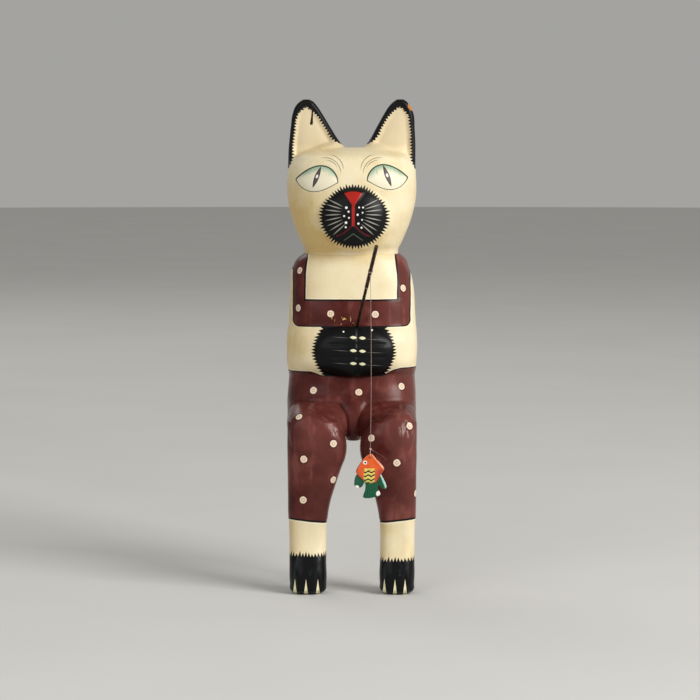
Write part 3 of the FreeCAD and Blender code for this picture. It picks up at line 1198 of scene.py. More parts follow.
    def dungarees(
        self, recipe: Recipe, wide: Term, y: Term, z: Term, wander: Term
    ) -> tuple[Term, Term, Term, Term]:
        """The dungarees' mask, and distances in from their edges in millimetres.

        Args:
            recipe: The material's recipe.
            wide: The distance from the middle.
            y: The depth.
            z: The height.
            wander: The brush's wander.

        Returns:
            The mask, and the distances in from the whole edge, from the opening above the bib and
            from the outer edge. They are negative outside.
        """
        round_corner = 6.0
        beside = (wide - (self.strap_outer - round_corner)) | 0.0
        below = ((self.bib_bottom + round_corner) - z - wander * 0.2) | 0.0
        corner = recipe.math("SQRT", beside * beside + below * below)
        arm_free = recipe.fade(z, 174.0, 178.0) * 30.0
        outer = (round_corner - corner) + arm_free * recipe.over(z, 150.0)
        inner_x = self.strap_inner - recipe.fade(z, 168.0, 192.0) * 2.5
        panel = (wide - inner_x) | (self.bib_top + wander * 0.25 - z)
        in_front = outer & panel
        behind = y - self.arm_back_y - 2.0
        back_panel = (wide - 30.0) | (128.0 + wander - z)
        in_back = behind & back_panel & (z * 0.0 + 40.0)
        bib = in_front | in_back
        x = recipe.axes()[0]
        rise = recipe.fade(wide, 28.0, 44.0) * 4.0 + recipe.fade(x, 32.0, 52.0) * 3.6
        trousers = self.waist + rise + wander * 0.7 - z
        edge = bib | trousers
        return recipe.over(edge, 0.0, 0.15), edge, panel, outer

    def scratches(self, recipe: Recipe, coating: Coating, x: Term, z: Term, front: Term) -> None:
        """Small chips along the bottom of the bib, where the rod rubs."""
        chips = recipe.over(recipe.noise(2.4, 2.0, (1.0, 1.0, 0.6)), 0.635, 0.03)
        area = recipe.within(x, -22.0, 4.0, 3.0) * recipe.within(z, 119.5, 127.0, 1.5) * front
        coating.lay(chips * area, paint_colour(226, 190, 112), -0.08)

    def paws(self, recipe: Recipe, coating: Coating, x: Term, z: Term, front: Term) -> None:
        """The black paws: straight above and below, toothed at the sides, with claws between.

        Args:
            recipe: The material's recipe.
            coating: The coating to lay them on.
            x: The place across.
            z: The height.
            front: 1 on the front of the torso.
        """
        level = (z - 93.0) / 25.6
        reach = 32.6 + (1.0 - level * level) * 11.0
        teeth = recipe.saw(z, 3.2, 0.35) * 4.6
        across = abs(x - 2.0)
        height = recipe.within(z, 66.6, 117.6, 0.35)
        mask = recipe.under(across - reach - teeth + 3.9, 0.0, 0.25) * height * front
        coating.lay(mask, BLACK, 0.08, 0.42)
        aside = abs(x - self.paw_gap_x)
        for middle in self.claw_levels:
            drop = (z - middle) + (x - self.paw_gap_x) * 0.06
            along = (aside - 4.6) / 3.5
            claw = recipe.under(abs(drop) / 1.5 + along * along, 1.0, 0.15) * front
            streak = recipe.under(abs(drop + 0.8) * 3.2 + abs(aside - 17.0) / 9.0, 1.0, 0.5) * front
            coating.lay(streak * 0.34, WHISKER)
            coating.lay(claw, CLAW, 0.1)
        for dot_x, dot_z in ((-8.7, 113.0), (20.3, 114.4)):
            gap = recipe.from_axis(x, z, dot_x, dot_z)
            coating.lay(recipe.under(gap, 0.85, 0.25) * front, WHITE)


def rod_direction() -> Array:
    """The rod's own direction, up and away from the paws: the axis that it slides along."""
    found = next(row for row in frame["joints"] if row["name"] == "rod_pull")
    axis = np.array(found["axis"], float)
    return axis / np.linalg.norm(axis)


# ---------------------------------------------------------------- head


@dataclass
class Head:
    """Head block with concave ears and a raised muzzle, and the painted face."""

    skull: tuple[tuple[float, ...], ...] = (
        (188.9, -48.8, 47.8, -36.6, 38.6, 2.6),
        (195, -48.6, 47.6, -39.5, 40, 2.55),
        (200, -51.2, 50.2, -44, 42, 2.5),
        (212, -56.6, 55.6, -49.5, 45, 2.5),
        (228, -62, 61.4, -54, 48, 2.5),
        (246, -66, 65.5, -55, 49, 2.5),
        (270, -66.5, 65.8, -53.5, 48, 2.5),
        (284, -64, 63.5, -48.5, 44, 2.4),
        (293, -56, 56, -40, 38, 2.3),
        (297.0, -43, 44, -27, 30, 2.2),
        (299.2, -24, 26, -14, 18, 2.1),
    )
    muzzle_centre: tuple[float, float, float] = (2.0, -47.0, 228.5)
    muzzle_radii: tuple[float, float, float] = (37.0, 18.0, 34.0)
    ears: tuple[tuple[tuple[float, ...], ...], ...] = (
        (
            (272, -66, -2, -26, 20, 2.3),
            (290, -65.6, -3, -21, 15, 2.3),
            (298, -65.3, -6.4, -18, 13, 2.3),
            (303, -64.9, -10.8, -15.5, 11, 2.3),
            (320, -63.2, -22.2, -10.5, 8, 2.3),
            (334, -61.2, -30.6, -7.8, 6, 2.3),
            (342, -58.0, -36.0, -6.6, 5.0, 2.3),
            (345.8, -54.8, -39.2, -5.6, 4.2, 2.3),
            (348.5, -50.8, -43.0, -4, 3, 2.2),
        ),
        (
            (272, 6, 65, -26, 20, 2.3),
            (290, 7.5, 65.4, -21, 15, 2.3),
            (298, 10.8, 65.4, -18, 13, 2.3),
            (303, 15.2, 65.3, -15.5, 11, 2.3),
            (320, 25.3, 64.6, -10.5, 8, 2.3),
            (334, 33.0, 63.4, -7.8, 6, 2.3),
            (342, 38.2, 60.0, -6.6, 5.0, 2.3),
            (345.8, 41.8, 56.8, -5.6, 4.2, 2.3),
            (348.5, 45.6, 53.4, -4, 3, 2.2),
        ),
    )
    ear_lines: tuple[tuple[tuple[float, float], ...], ...] = (
        (
            (-65.9, 278), (-65.2, 303), (-62.6, 326), (-60.0, 337.5), (-55.2, 345), (-48.4, 349.9),
            (-42.2, 347.6), (-37.1, 343), (-30.9, 334), (-22.2, 320), (-14.7, 307.5), (-10.9, 303),
        ),
        (
            (15.4, 303), (20.4, 310), (28, 325), (35.5, 337.5), (41.7, 345.8), (48.6, 349.9),
            (54.6, 348.2), (59.6, 341.3), (63.2, 332.5), (65.1, 313.7), (65.7, 295), (65.4, 279),
        ),
    )
    eye_corners: tuple[tuple[float, float, float, float, float, float], ...] = (
        (-57.3, 267.4, -14.3, 264.0, 15.8, 11.2),
        (56.8, 269.3, 15.3, 266.0, 14.9, 11.0),
    )
    muzzle_spots: tuple[tuple[float, float, float], ...] = (
        (-5.8, 239.0, 1.3), (-3.6, 235.0, 1.0), (-8.0, 230.6, 1.0),
        (-3.2, 228.8, 0.9), (-6.1, 223.9, 1.3),
        (-6.4, 219.3, 1.0), (7.1, 239.2, 0.9), (11.1, 239.2, 0.9),
        (10.6, 234.0, 0.8), (5.6, 231.9, 1.1),
        (10.1, 226.8, 0.8), (6.4, 223.0, 1.1), (9.5, 218.8, 1.0),
    )

    def eye_outline(self, corners: Sequence[float]) -> Array:
        """An eye's closed outline.

        Along the line between the corners, u runs from the outer to the inner one. The upper lid
        stands u^a (1-u)^b above it, scaled to its height, and the lower lid the same below.

        Args:
            corners: Outer X and Z, inner X and Z, and the heights of the upper and lower lids.

        Returns:
            Points of X and Z.
        """
        outer_x, outer_z, inner_x, inner_z, upper, lower = corners
        u = np.linspace(0, 1, 72)
        base_x = outer_x + (inner_x - outer_x) * u
        base_z = outer_z + (inner_z - outer_z) * u

        def lid(a: float, b: float) -> Array:
            """The lid's curve, with its top at 1."""
            peak = a / (a + b)
            return u**a * (1 - u) ** b / (peak**a * (1 - peak) ** b)

        top = np.stack([base_x, base_z + upper * lid(0.98, 0.56)], axis=1)
        bottom = np.stack([base_x, base_z - lower * lid(0.74, 1.16)], axis=1)
        return np.concatenate([top, bottom[-2:0:-1]])

    def carve(self) -> Carving:
        """Merges the blocks, hollows the ears, cuts the mouth and raises the nose and eyes."""
        blocks = [level_block(self.skull), ball_block(self.muzzle_centre, self.muzzle_radii)]
        blocks += [level_block(ear, 1.0, 140) for ear in self.ears]
        carving = Carving("head", blocks, 1.15, 6)
        places = carving.points[:, [0, 2]]
        high = carving.points[:, 2] > 270
        rim = np.full(len(places), 60.0)
        run = np.zeros(len(places))
        for line in self.ear_lines:
            gap, along = outline_distance(places[high], np.array(line), closed=False)
            nearer = gap < rim[high]
            rim[high] = np.where(nearer, gap, rim[high])
            run[high] = np.where(nearer, along, run[high])
        x, y, z = carving.points.T
        ridge = np.interp(np.abs(x), [10, 17, 30, 48, 60, 66], [305, 303, 299.5, 292, 285, 281])
        facing = ease(-carving.normals[:, 1], 0.15, 0.5) * ease(y, 8, 0)
        hollow = np.interp(z, [285, 300, 312, 334, 345, 350], [8.0, 7.6, 5.6, 3.2, 1.6, 0.3])
        scoop = facing * ease(z - ridge, -1.0, 5.0) * ease(rim, 1.6, 9.5) * hollow
        swell = facing * 0.8 * bell(z, ridge - 4.0, 4.0) * ease(z, 276, 282)
        carving.move(np.stack([x * 0, scoop - swell, z * 0], axis=1))

        eye = np.full(len(places), -20.0)
        near = (carving.points[:, 1] < -20) & (np.abs(z - 268) < 26)
        for corners in self.eye_corners:
            gap, _ = outline_distance(carving.points[near][:, [0, 2]], self.eye_outline(corners))
            eye[near] = np.maximum(eye[near], gap)
        x, y, z = carving.points.T
        front = ease(-y, 20, 34)
        middle = np.abs(x - 1.3)
        lips = 222.5 - 12.3 * (1 - np.clip(1 - middle / 18, 0, 1) ** 1.7)
        mouth = -0.9 * bell(z, lips, 1.3) * ease(middle, 19, 15)
        seam = -0.8 * bell(middle, 0, 1.7) * ease(z, 220, 224) * ease(z, 244, 240)
        nose = 1.3 * ease(12 * (z - 239) / 16 - middle, -1.0, 2.5) * ease(z, 257.5, 253.5)
        ball = ease(eye, -0.6, 6.0) * 0.9 - 0.35 * bell(eye, 0, 0.9)
        carving.push(front * (mouth + seam + nose + ball))
        carving.roughen(0.22, 10.0)
        carving.note("rim", rim)
        carving.note("rim_run", run)
        carving.note("eye", eye)
        return carving

    def build(self) -> bpy.types.Object:
        """Carves and paints the head."""
        finish = Finish("head_paint", coat=0.14, coat_roughness=0.24)
        return self.carve().shown(Body.FIGURE, "head_paint", ["head"], finish.material(self.paint))

    def paint(self, recipe: Recipe) -> Coating:
        """The whole head: ground, ears, eyes, muzzle.

        Args:
            recipe: The material's recipe.

        Returns:
            The coating.
        """
        x, y, z = recipe.axes()
        front = recipe.under(y, -12.0, 2.0)
        # Painted shade: the left of the face and the underside of the chin are yellowed; brow is a
        # yellower band at the height of the ear bases.
        cheek = recipe.fade(x, 0.0, -66.0) * recipe.fade(z, 290.0, 215.0) * 0.85
        chin = recipe.fade(z, 222.0, 200.0) * recipe.fade(z, 190.0, 196.0)
        chin = chin * recipe.fade(x, 60.0, -20.0)
        brow = recipe.within(z, 292.0, 306.0, 5.0) * recipe.noise(14.0, 2.0) * 0.4
        coating = cream_ground(recipe, cheek + chin * 0.62 + brow)
        self.paint_ears(recipe, coating, x, y, z)
        self.paint_eyes(recipe, coating, x, z, front)
        self.paint_muzzle(recipe, coating, x, z, front)
        return coating

    def paint_ears(self, recipe: Recipe, coating: Coating, x: Term, y: Term, z: Term) -> None:
        """Black toothed borders, a run of paint in the left ear, and bare wood at the right tip."""
        rim = recipe.note("rim")
        run = recipe.note("rim_run")
        inside = recipe.over(z, 300.0, 4.0) * recipe.under(y, 2.0, 2.0)
        coating.lay(inside * 0.75, paint_colour(214, 196, 160), 0.0, 0.6)
        ends = recipe.fade(run, -4.0, 12.0) * recipe.fade(run, 142.0, 126.0)
        breadth = 3.7 + recipe.fade(z, 328.0, 350.0) * 5.4
        teeth = recipe.saw(run, 3.2, 0.4) * 3.2
        border = recipe.over(ends * (breadth + teeth) - rim, 0.0, 0.22)
        behind = recipe.over(y, 3.0, 1.0)
        behind = behind * recipe.over(z + recipe.saw(x, 4.0, 0.5) * 4.0, 330.0, 0.4)
        coating.lay(border | behind, BLACK, 0.06, 0.5)
        wobble = (recipe.noise(3.0, 2.0) - 0.5) * 2.4
        drip_line = abs(x + 40.3 + (342.0 - z) * 0.08 + wobble)
        drip = recipe.under(drip_line - recipe.fade(z, 338.0, 326.0) * 0.7, 0.65, 0.2)
        drip = drip * recipe.within(z, 322.5, 344.0, 0.5) * recipe.under(y, 0.0)
        coating.lay(drip, paint_colour(38, 24, 16), -0.1)
        bare = recipe.from_point((61.0, -2.0, 341.0)) + wobble * 1.1
        coating.lay(recipe.under(bare, 4.6, 0.3), BARE_WOOD, -0.3, 0.7)
        bare_left = recipe.from_point((-42.0, -3.0, 349.5)) + wobble
        coating.lay(recipe.under(bare_left, 2.4, 0.3) * 0.8, GRAIN_DARK, -0.2, 0.7)

    def paint_eyes(self, recipe: Recipe, coating: Coating, x: Term, z: Term, front: Term) -> None:
        """Green shade under the upper lids, slit pupils with a glint, lids and fine brow lines."""
        eye = recipe.note("eye")
        inside = recipe.over(eye, 0.0, 0.2) * front
        coating.lay(inside * 0.6, paint_colour(246, 242, 222))
        shade = recipe.fade(z, 266.0, 276.0) * recipe.fade(eye, 8.5, 0.4) * inside
        coating.lay(shade * 0.85, EYE_GREEN)
        strokes = recipe.over(recipe.noise(1.5, 1.0, (1.0, 1.0, 0.2), 5.0), 0.62, 0.05)
        coating.lay(
            strokes * recipe.fade(z, 266.0, 276.0) * inside * 0.35, paint_colour(110, 140, 112)
        )
        wide = abs(x) - 35.75
        high = z - 269.5 - recipe.over(x, 0.0, 1.0) * 1.2
        along = high * 0.93 - wide * 0.367
        across = wide * 0.93 + high * 0.367
        slit = (1.0 - (along / 11.6) ** 2.0) * 2.3 - abs(across)
        coating.lay(recipe.over(slit, 0.0, 0.15) * front, paint_colour(34, 28, 28), 0.04)
        coating.lay(recipe.over(slit, 0.75, 0.3) * front, PUPIL)
        glint = recipe.math("SQRT", (across - 0.1) ** 2.0 + ((along - 0.8) * 0.6) ** 2.0)
        coating.lay(recipe.under(glint, 1.15, 0.3) * front, WHITE, 0.08)
        lid = recipe.fade(z, 262.0, 272.0) * 0.36 + 0.36
        coating.lay(recipe.over(lid - abs(eye), 0.0, 0.16) * front, LID_GREEN, 0.04)
        wide_x = abs(x)
        arcs = (
            (27.4, 272.9, 16.2, 274.0, 34.0),
            (24.4, 276.9, 15.6, 278.0, 25.0),
            (27.2, 272.9, 13.9, 280.0, 30.0),
        )
        for centre_x, centre_z, radius, low, inner in arcs:
            gap = abs(recipe.from_axis(wide_x, z, centre_x, centre_z) - radius)
            arc = recipe.under(gap, 0.34, 0.24) * recipe.fade(z, low - 3.0, low + 4.0)
            coating.lay(
                arc * recipe.fade(wide_x, inner, inner - 9.0) * front * 0.85,
                paint_colour(84, 78, 66),
            )

    def paint_muzzle(self, recipe: Recipe, coating: Coating, x: Term, z: Term, front: Term) -> None:
        """The black muzzle with its fringe, whiskers, nose, mouth and white dots."""
        aside = x - 2.0
        high = z - 229.9
        narrow = recipe.fade(high, 4.0, 30.0) * 0.14 + 1.0
        wide = aside * narrow / 36.4
        tall = high / 33.0
        share = recipe.math("SQRT", wide * wide + tall * tall)
        angle = recipe.math("ARCTAN2", high, aside)
        fringe = recipe.saw(angle, 2 * math.pi / 64, 0.4) * 0.15
        fuzz = (recipe.noise(5.0, 2.0) - 0.5) * 0.03
        patch = recipe.over(0.885 + fringe + fuzz - share, 0.0, 0.006) * front
        # Painted sheen: the upper right rim of the black muzzle is greyer.
        thin = recipe.fade(share, 0.8, 1.0) * recipe.over(angle, 0.3, 0.3)
        thin = thin * recipe.under(angle, 1.9, 0.3)
        coating.lay(patch, recipe.mix(thin * 0.4, BLACK, paint_colour(92, 90, 80)), 0.08, 0.5)

        from_middle = abs(x - 1.3)
        reach = from_middle + 4.0
        level = z - 233.2
        far = recipe.math("SQRT", reach * reach + level * level)
        turn = recipe.math("ARCTAN2", level, reach) * (180 / math.pi)
        count = (turn - 25.5) / 9.6
        off = abs(count - recipe.math("ROUND", count)) * far * math.radians(9.6)
        taper = (far - 16.2) / 17.0
        width = taper * (1.0 - taper) * 2.2
        whisker = recipe.over(width - off, 0.0, 0.2) * recipe.within(count, -7.45, 0.45, 0.05)
        coating.lay(whisker * front * 0.9, WHISKER, 0.05)

        curve = ((1.0 - from_middle / 18.0) | 0.0) ** 1.7
        lips = 222.5 - (1.0 - curve) * 12.3
        mouth = recipe.under(abs(z - lips) + from_middle * 0.035, 1.25, 0.25)
        mouth = mouth * recipe.under(from_middle, 17.5, 0.6)
        coating.lay(mouth * front, MOUTH_RED)
        under_lip = abs(z - (212.6 - from_middle * 0.72))
        chin = recipe.under(under_lip, 0.55, 0.35) * recipe.under(from_middle, 9.5, 1.0)
        coating.lay(chin * front * 0.5, paint_colour(110, 128, 104))
        stem = recipe.under(from_middle, 1.55, 0.25) * recipe.within(z, 220.5, 243.5, 0.6)
        nose = recipe.under(from_middle - (z - 239.5) * 0.68, 0.0, 0.4)
        nose = nose * recipe.under(z + from_middle * from_middle * 0.02, 255.2, 0.4)
        coating.lay((stem | nose) * front, NOSE_RED, 0.06, 0.35)
        for dot_x, dot_z, radius in self.muzzle_spots:
            gap = recipe.from_axis(x, z, dot_x, dot_z)
            coating.lay(recipe.under(gap, radius, 0.2) * front, WHITE, 0.08)


# ---------------------------------------------------------------- legs


@dataclass
class Leg:
    """A thigh, a shank in its trouser leg, a bare ankle and a black foot with three claws."""

    side: Side
    knee_inner: float
    ankle_inner: float
    sole_inner: float
    dots: tuple[tuple[float, float], ...]
    claws: tuple[float, ...]
    fur_level: float
    hem: float = -75.4
    outer: float = 65.2
    shelf_y: float = -62.0
    shank_back: float = -62.4
    thigh_top: float = 41.6

    def span(self, inner: float, outer: float) -> tuple[float, float]:
        """The left and right X of a section, from its distances to the middle of the cat."""
        return (-outer, -inner) if self.side is Side.LEFT else (inner, outer)

    def carve(self) -> Carving:
        """Merges thigh and shank, and cuts the toes and the hem."""
        knee, ankle, sole = self.knee_inner, self.ankle_inner, self.sole_inner
        thigh = upright_block([
            (-40.2, *self.span(knee - 8.5, self.outer), 0.3, self.thigh_top, 3.4),
            (-62, *self.span(knee - 8, self.outer), -8, self.thigh_top, 3.1),
            (-80, *self.span(knee - 4, self.outer - 0.5), -12, 40.6, 2.6),
            (-90, *self.span(knee + 1, self.outer - 2.6), -12, 37.5, 2.3),
            (-95, *self.span(knee + 7, self.outer - 7), -12, 31, 2.1),
            (-97, *self.span(knee + 17, self.outer - 15), -6, 20, 2.0),
        ])
        shank = level_block([
            (level, *self.span(inner, outer), front_y, self.shank_back, 2.8)
            for level, inner, outer, front_y in (
                (24, knee + 2, 65.4, -94.5), (2, knee - 7.5, 65.4, -95.5),
                (-12, knee - 6.6, 65.4, -96), (-23, knee - 2.4, 65.3, -95.6),
                (-34, knee + 1.4, 65.1, -95), (-44, knee + 4.8, 65.0, -94.4),
                (-54, knee + 7.8, 64.9, -93.8), (-74, ankle - 0.8, 64.6, -92.5),
                (-79, ankle - 0.4, 64.4, -92.2), (-100, ankle, 63.8, -93),
            )
        ] + [
            (-118, *self.span(sole - 0.9, 63.8), -98, self.shank_back, 2.9),
            (-140, *self.span(sole - 0.9, 63.4), -101, self.shank_back, 2.9),
            (-147.5, *self.span(sole + 0.2, 62.4), -99.5, -63, 2.9),
            (-149.8, *self.span(sole + 3.0, 59.6), -95.5, -65, 2.8),
        ])
        thigh.points[(thigh.points[:, 1] > self.shelf_y) & (thigh.points[:, 2] < 0.3), 2] = 0.3
        from_inner = np.clip((np.abs(thigh.points[:, 0]) - knee + 8) / 60, 0, 1)
        slope = (2.5 + 21 * (1 - from_inner) ** 1.7) * ease(thigh.points[:, 1], -46, -86)
        thigh.points[:, 2] -= slope * np.clip(thigh.points[:, 2] / self.thigh_top, 0, 1)
        carving = Carving(f"{self.side.name.lower()}_leg", [thigh, shank], 1.2, 5)
        x, _, z = carving.points.T
        front = ease(-carving.normals[:, 1], 0.2, 0.6)
        toes = -sum(bell(x, claw, 1.6) for claw in self.claws)
        foot = front * toes * ease(z, -124, -136)
        step = -0.45 * ease(z, self.hem + 0.6, self.hem - 0.6)
        carving.push(foot + step)
        carving.roughen(0.2, 9.0)
        return carving

    def dot_points(self, carving: Carving) -> list[list[float]]:
        """The places of the dots on the front, the outer and inner sides and the back."""
        sign = self.side.value
        found = carving.surface_points(self.dots, (0, -1, 0))
        sides = [(-67, -16), (-54, 18)]
        found += carving.surface_points(sides, (sign, 0, 0))
        found += carving.surface_points([(-69, 4), (-69, -52)], (-sign, 0, 0))
        backs = [(sign * 38, -20), (sign * 48, -56)]
        found += carving.surface_points(backs, (0, 1, 0))
        return found

    def build(self) -> bpy.types.Object:
        """Carves and paints the leg."""
        carving = self.carve()
        dots = self.dot_points(carving)
        finish = Finish(f"{self.side.name.lower()}_leg_paint", coat=0.13, coat_roughness=0.18)
        material = finish.material(lambda recipe: self.paint(recipe, dots))
        return carving.shown(Body.FIGURE, "leg_paint", [carving.name], material)

    def paint(self, recipe: Recipe, dots: Sequence[Sequence[float]]) -> Coating:
        """Maroon trouser leg with dots, cream ankle, black foot with a toothed edge and claws.

        Args:
            recipe: The material's recipe.
            dots: The dots' centres.

        Returns:
            The coating.
        """
        x, y, z = recipe.axes()
        sign = self.side.value
        wander = (recipe.noise(20.0, 1.0, shift=6.0) - 0.5) * 1.6
        # Painted shade: the left leg's outer side and the right leg's inner side are yellowed, on
        # an even yellowing.
        coating = cream_ground(
            recipe, recipe.fade(x * sign, 44.0, 24.0 if sign > 0 else 66.0) * 0.25 + 0.1
        )
        # Painted light: the maroon is lighter towards the right of each leg, and a painted
        # highlight lightens the front of the knee.
        lit = recipe.fade(x * sign, 30.0, 62.0) if sign > 0 else recipe.fade(x, -60.0, -20.0) * 0.6
        knee = recipe.under(recipe.from_point((sign * 48.0, -97.0, 16.0)), 16.0, 16.0)
        edge = z - (self.hem + (x * sign - 44.0) * 0.105 + wander * 0.6)
        trousers = recipe.over(edge, 0.0, 0.15)
        coating.lay(trousers, maroon_colour(recipe, lit * 0.25 + knee * 0.18), 0.1, 0.25)
        self.knee_scuffs_and_highlight(recipe, coating)
        coating.lay(recipe.within(edge, -1.1, 0.9, 0.25), BLACK, -0.05)
        # Painted highlight: a pale line under the black hem line.
        coating.lay(recipe.within(edge, -2.6, -1.3, 0.3) * 0.6, CREAM_PALE)
        spots(recipe, coating, dots, recipe.over(edge, 1.0, 0.2))

        turn = recipe.math("ARCTAN2", y + 78.0, x - sign * 45.0)
        fur = self.fur_level + recipe.saw(turn, 2 * math.pi / 36, 0.55) * 6.2 + wander
        foot = recipe.under(z - fur, 0.0, 0.2)
        coating.lay(foot, BLACK, 0.08, 0.42)
        rub = recipe.over(recipe.noise(9.0, 3.0, (1.0, 1.0, 0.5)), 0.66, 0.06) * foot
        coating.lay(rub * 0.35, paint_colour(58, 66, 70))
        front = recipe.under(y, -86.0, 1.0)
        for claw in self.claws:
            narrowing = (-133.5 - z) * 0.13
            mask = recipe.over(narrowing - abs(x - claw), 0.0, 0.18) * recipe.under(z, -134.0, 0.3)
            coating.lay(mask * front, CLAW, 0.05)
        return coating

    def knee_scuffs_and_highlight(self, recipe: Recipe, coating: Coating) -> None:
        """Pale rubs where the knee catches the light, in short slanting scratches."""
        sign = self.side.value
        slant = recipe.noise(2.4, 3.0, (1.0, 1.0, 0.35), 11.0)
        centre = (54.5, -96.0, 17.0) if sign > 0 else (-17.5, -92.0, 15.0)
        size = 10.0 if sign > 0 else 6.5
        place = recipe.fade(recipe.from_point(centre), size, size * 0.35)
        # Pale rubs and a painted highlight on the knee.
        coating.lay(
            place * recipe.over(slant, 0.5, 0.08) * 0.5, paint_colour(196, 176, 172), 0.0, 0.45
        )


# ---------------------------------------------------------------- tail and dowels


@dataclass
class Tail:
    """The tail, which rises in a slow bend behind the back from its peg."""

    route: tuple[tuple[float, float, float], ...] = (
        (0, 40, 26), (0, 58, 26), (0, 66, 34), (1, 64, 70),
        (22, 60, 108), (13, 57, 134), (8, 56, 157),
    )
    root_radius: float = 7.4
    tip_radius: float = 5.6
    black_from: float = 92.0

    def build(self) -> bpy.types.Object:
        """Sweeps a tapering round section along the tail's line and rounds its tip."""
        path = open_curve(self.route, 150)
        steps = np.linalg.norm(np.diff(path, axis=0), axis=1)
        along = np.concatenate([[0], np.cumsum(steps)])
        left = along[-1] - along
        radii = self.root_radius + (self.tip_radius - self.root_radius) * along / along[-1]
        radii *= np.sqrt(1 - np.clip(1 - left / self.tip_radius, 0, 0.995) ** 2)
        skin = tube(path, radii, 40)
        mesh = mesh_from("tail", skin)
        runs = np.concatenate([np.repeat(along, 40), along[[0, -1]]])
        keep_numbers(mesh, "along", runs)
        material = Finish("tail_paint", coat=0.16, coat_roughness=0.22).material(self.paint)
        return show("tail", mesh, Body.FIGURE, ["tail"], material)

    def paint(self, recipe: Recipe) -> Coating:
        """Cream tail with a black toothed end."""
        x, y, _ = recipe.axes()
        along = recipe.note("along")
        coating = cream_ground(recipe, recipe.fade(along, 40.0, 0.0) * 0.4)
        turn = recipe.math("ARCTAN2", y - 60.0, x - 14.0)
        start = self.black_from - recipe.saw(turn, 2 * math.pi / 18, 0.4) * 6.0
        coating.lay(recipe.over(along - start, 0.0, 0.3), BLACK, 0.08, 0.26)
        return coating


class Dowels:
    """The hidden dowels, which keep their CAD shape and get bare wood."""

    def build(self) -> None:
        """Gives both dowel nodes their material."""
        material = Finish("bare_dowel_wood", bump=0.6, specular=0.3).material(self.paint)
        for name in ("neck_dowel", "leg_dowels"):
            node = frame["nodes"][name]
            for slot in node.material_slots:
                slot.material = material
            LOG.info("finished %s", name)

    @staticmethod
    def paint(recipe: Recipe) -> Coating:
        """Pale turned hardwood with grain along the dowel."""
        grain = recipe.noise(1.2, 4.0, (1.0, 0.3, 0.3))
        colour = recipe.mix(grain, paint_colour(214, 180, 130), paint_colour(176, 132, 84))
        return Coating(recipe, colour, grain * 0.2 + 0.5, grain * 0.15)


# ---------------------------------------------------------------- rod and knots


@dataclass
class Rod:
    """The dark twig, thinner below its node, and the turns of line wound on it."""

    free_length: float = 146.38
    thin: float = 1.58
    thick: float = 1.88
    node_at: float = 0.5
    turns: int = 6
    winding: float = 2.3
    strand: float = 0.2

    def build(self) -> list[bpy.types.Object]:
        """Makes the twig and its winding."""
        along = rod_direction()
        start = np.array(ROD_EXIT)
        run = np.concatenate([
            np.linspace(-ROD_INSIDE, self.free_length - 0.3, 260),
            [self.free_length - 0.1, self.free_length],
        ])
        node = run - self.free_length * self.node_at
        radii = self.thin + (self.thick - self.thin) * ease(node, -3, 3)
        radii += 0.3 * bell(node, 0, 0.8) - 0.16 * bell(node, 1.9, 0.5)
        chance = np.random.default_rng(SEED)
        phases = run[:, None] * chance.uniform(0.15, 0.9, 6) + chance.uniform(0, 6, 6)
        waves = np.sin(phases).mean(axis=1)
        radii += waves * 0.06 * ease(run, 0, 6)
        radii[-1] -= 0.25
        path = start + run[:, None] * along
        twig = mesh_from("fishing_rod", tube(path, radii, 28))
        keep_numbers(twig, "along", np.concatenate([np.repeat(run, 28), run[[0, -1]]]))
        finish = Finish("dark_twig", coat=0.25, coat_roughness=0.25)
        rod = show("rod", twig, Body.ROD, ["fishing_rod"], finish.material(self.paint))

        turn = np.linspace(0, 2 * np.pi * self.turns, 36 * self.turns)
        side = np.cross(along, [0, 0, 1.0])
        side /= np.linalg.norm(side)
        up = np.cross(side, along)
        centre = pivot("line_sway") + np.outer(
            np.linspace(-0.5, 0.5, len(turn)) * self.winding, along
        )
        reach = self.thick + self.strand + 0.04 + 0.05 * np.sin(turn * 0.37)
        helix = centre + reach[:, None] * (
            np.outer(np.cos(turn), side) + np.outer(np.sin(turn), up)
        )
        skin = tube(helix, self.strand, 10)
        line = Finish("wound_line", coat=0.3, bump=0.3, alpha=0.55).material(FishingLine.paint)
        turns = mesh_from("whipping", skin)
        winding = show("whipping", turns, Body.ROD, ["rod_whipping"], line)
        return [rod, winding]

    def paint(self, recipe: Recipe) -> Coating:
        """Near-black bark with brown wear, a pale nick at the node and a pale cut tip."""
        along = recipe.note("along")
        grain = recipe.noise(1.4, 4.0, (1.0, 0.25, 0.25))
        wear = recipe.noise(7.0, 3.0, (1.0, 0.6, 0.6), 3.0)
        colour = recipe.mix(
            recipe.fade(grain, 0.35, 0.7), paint_colour(20, 12, 6), paint_colour(52, 34, 18)
        )
        colour = recipe.mix(recipe.over(wear, 0.6, 0.08) * 0.5, colour, paint_colour(84, 54, 28))
        coating = Coating(recipe, colour, grain * 0.2 + 0.32, grain * 0.12)
        node = along - self.free_length * self.node_at
        nick = recipe.within(node, -0.7, 0.9, 0.3) * recipe.over(grain, 0.46, 0.05)
        coating.lay(nick, paint_colour(196, 180, 150))
        tip = recipe.over(along, self.free_length - 0.12, 0.05)
        coating.lay(tip, paint_colour(74, 50, 28), 0.0, 0.7)
        return coating


def knot_path(centre: Array, radius: float, count: int = 120) -> Array:
    """A pulled-up overhand knot: the trefoil (sin t + 2 sin 2t, -1.6 sin 3t, cos t - 2 cos 2t)."""
    t = np.linspace(0, 2 * np.pi, count, endpoint=False)
    across = np.sin(t) + 2 * np.sin(2 * t)
    up = np.cos(t) - 2 * np.cos(2 * t)
    shape = np.stack([across, -1.6 * np.sin(3 * t), up], axis=1)
    return centre + shape / 3.0 * radius


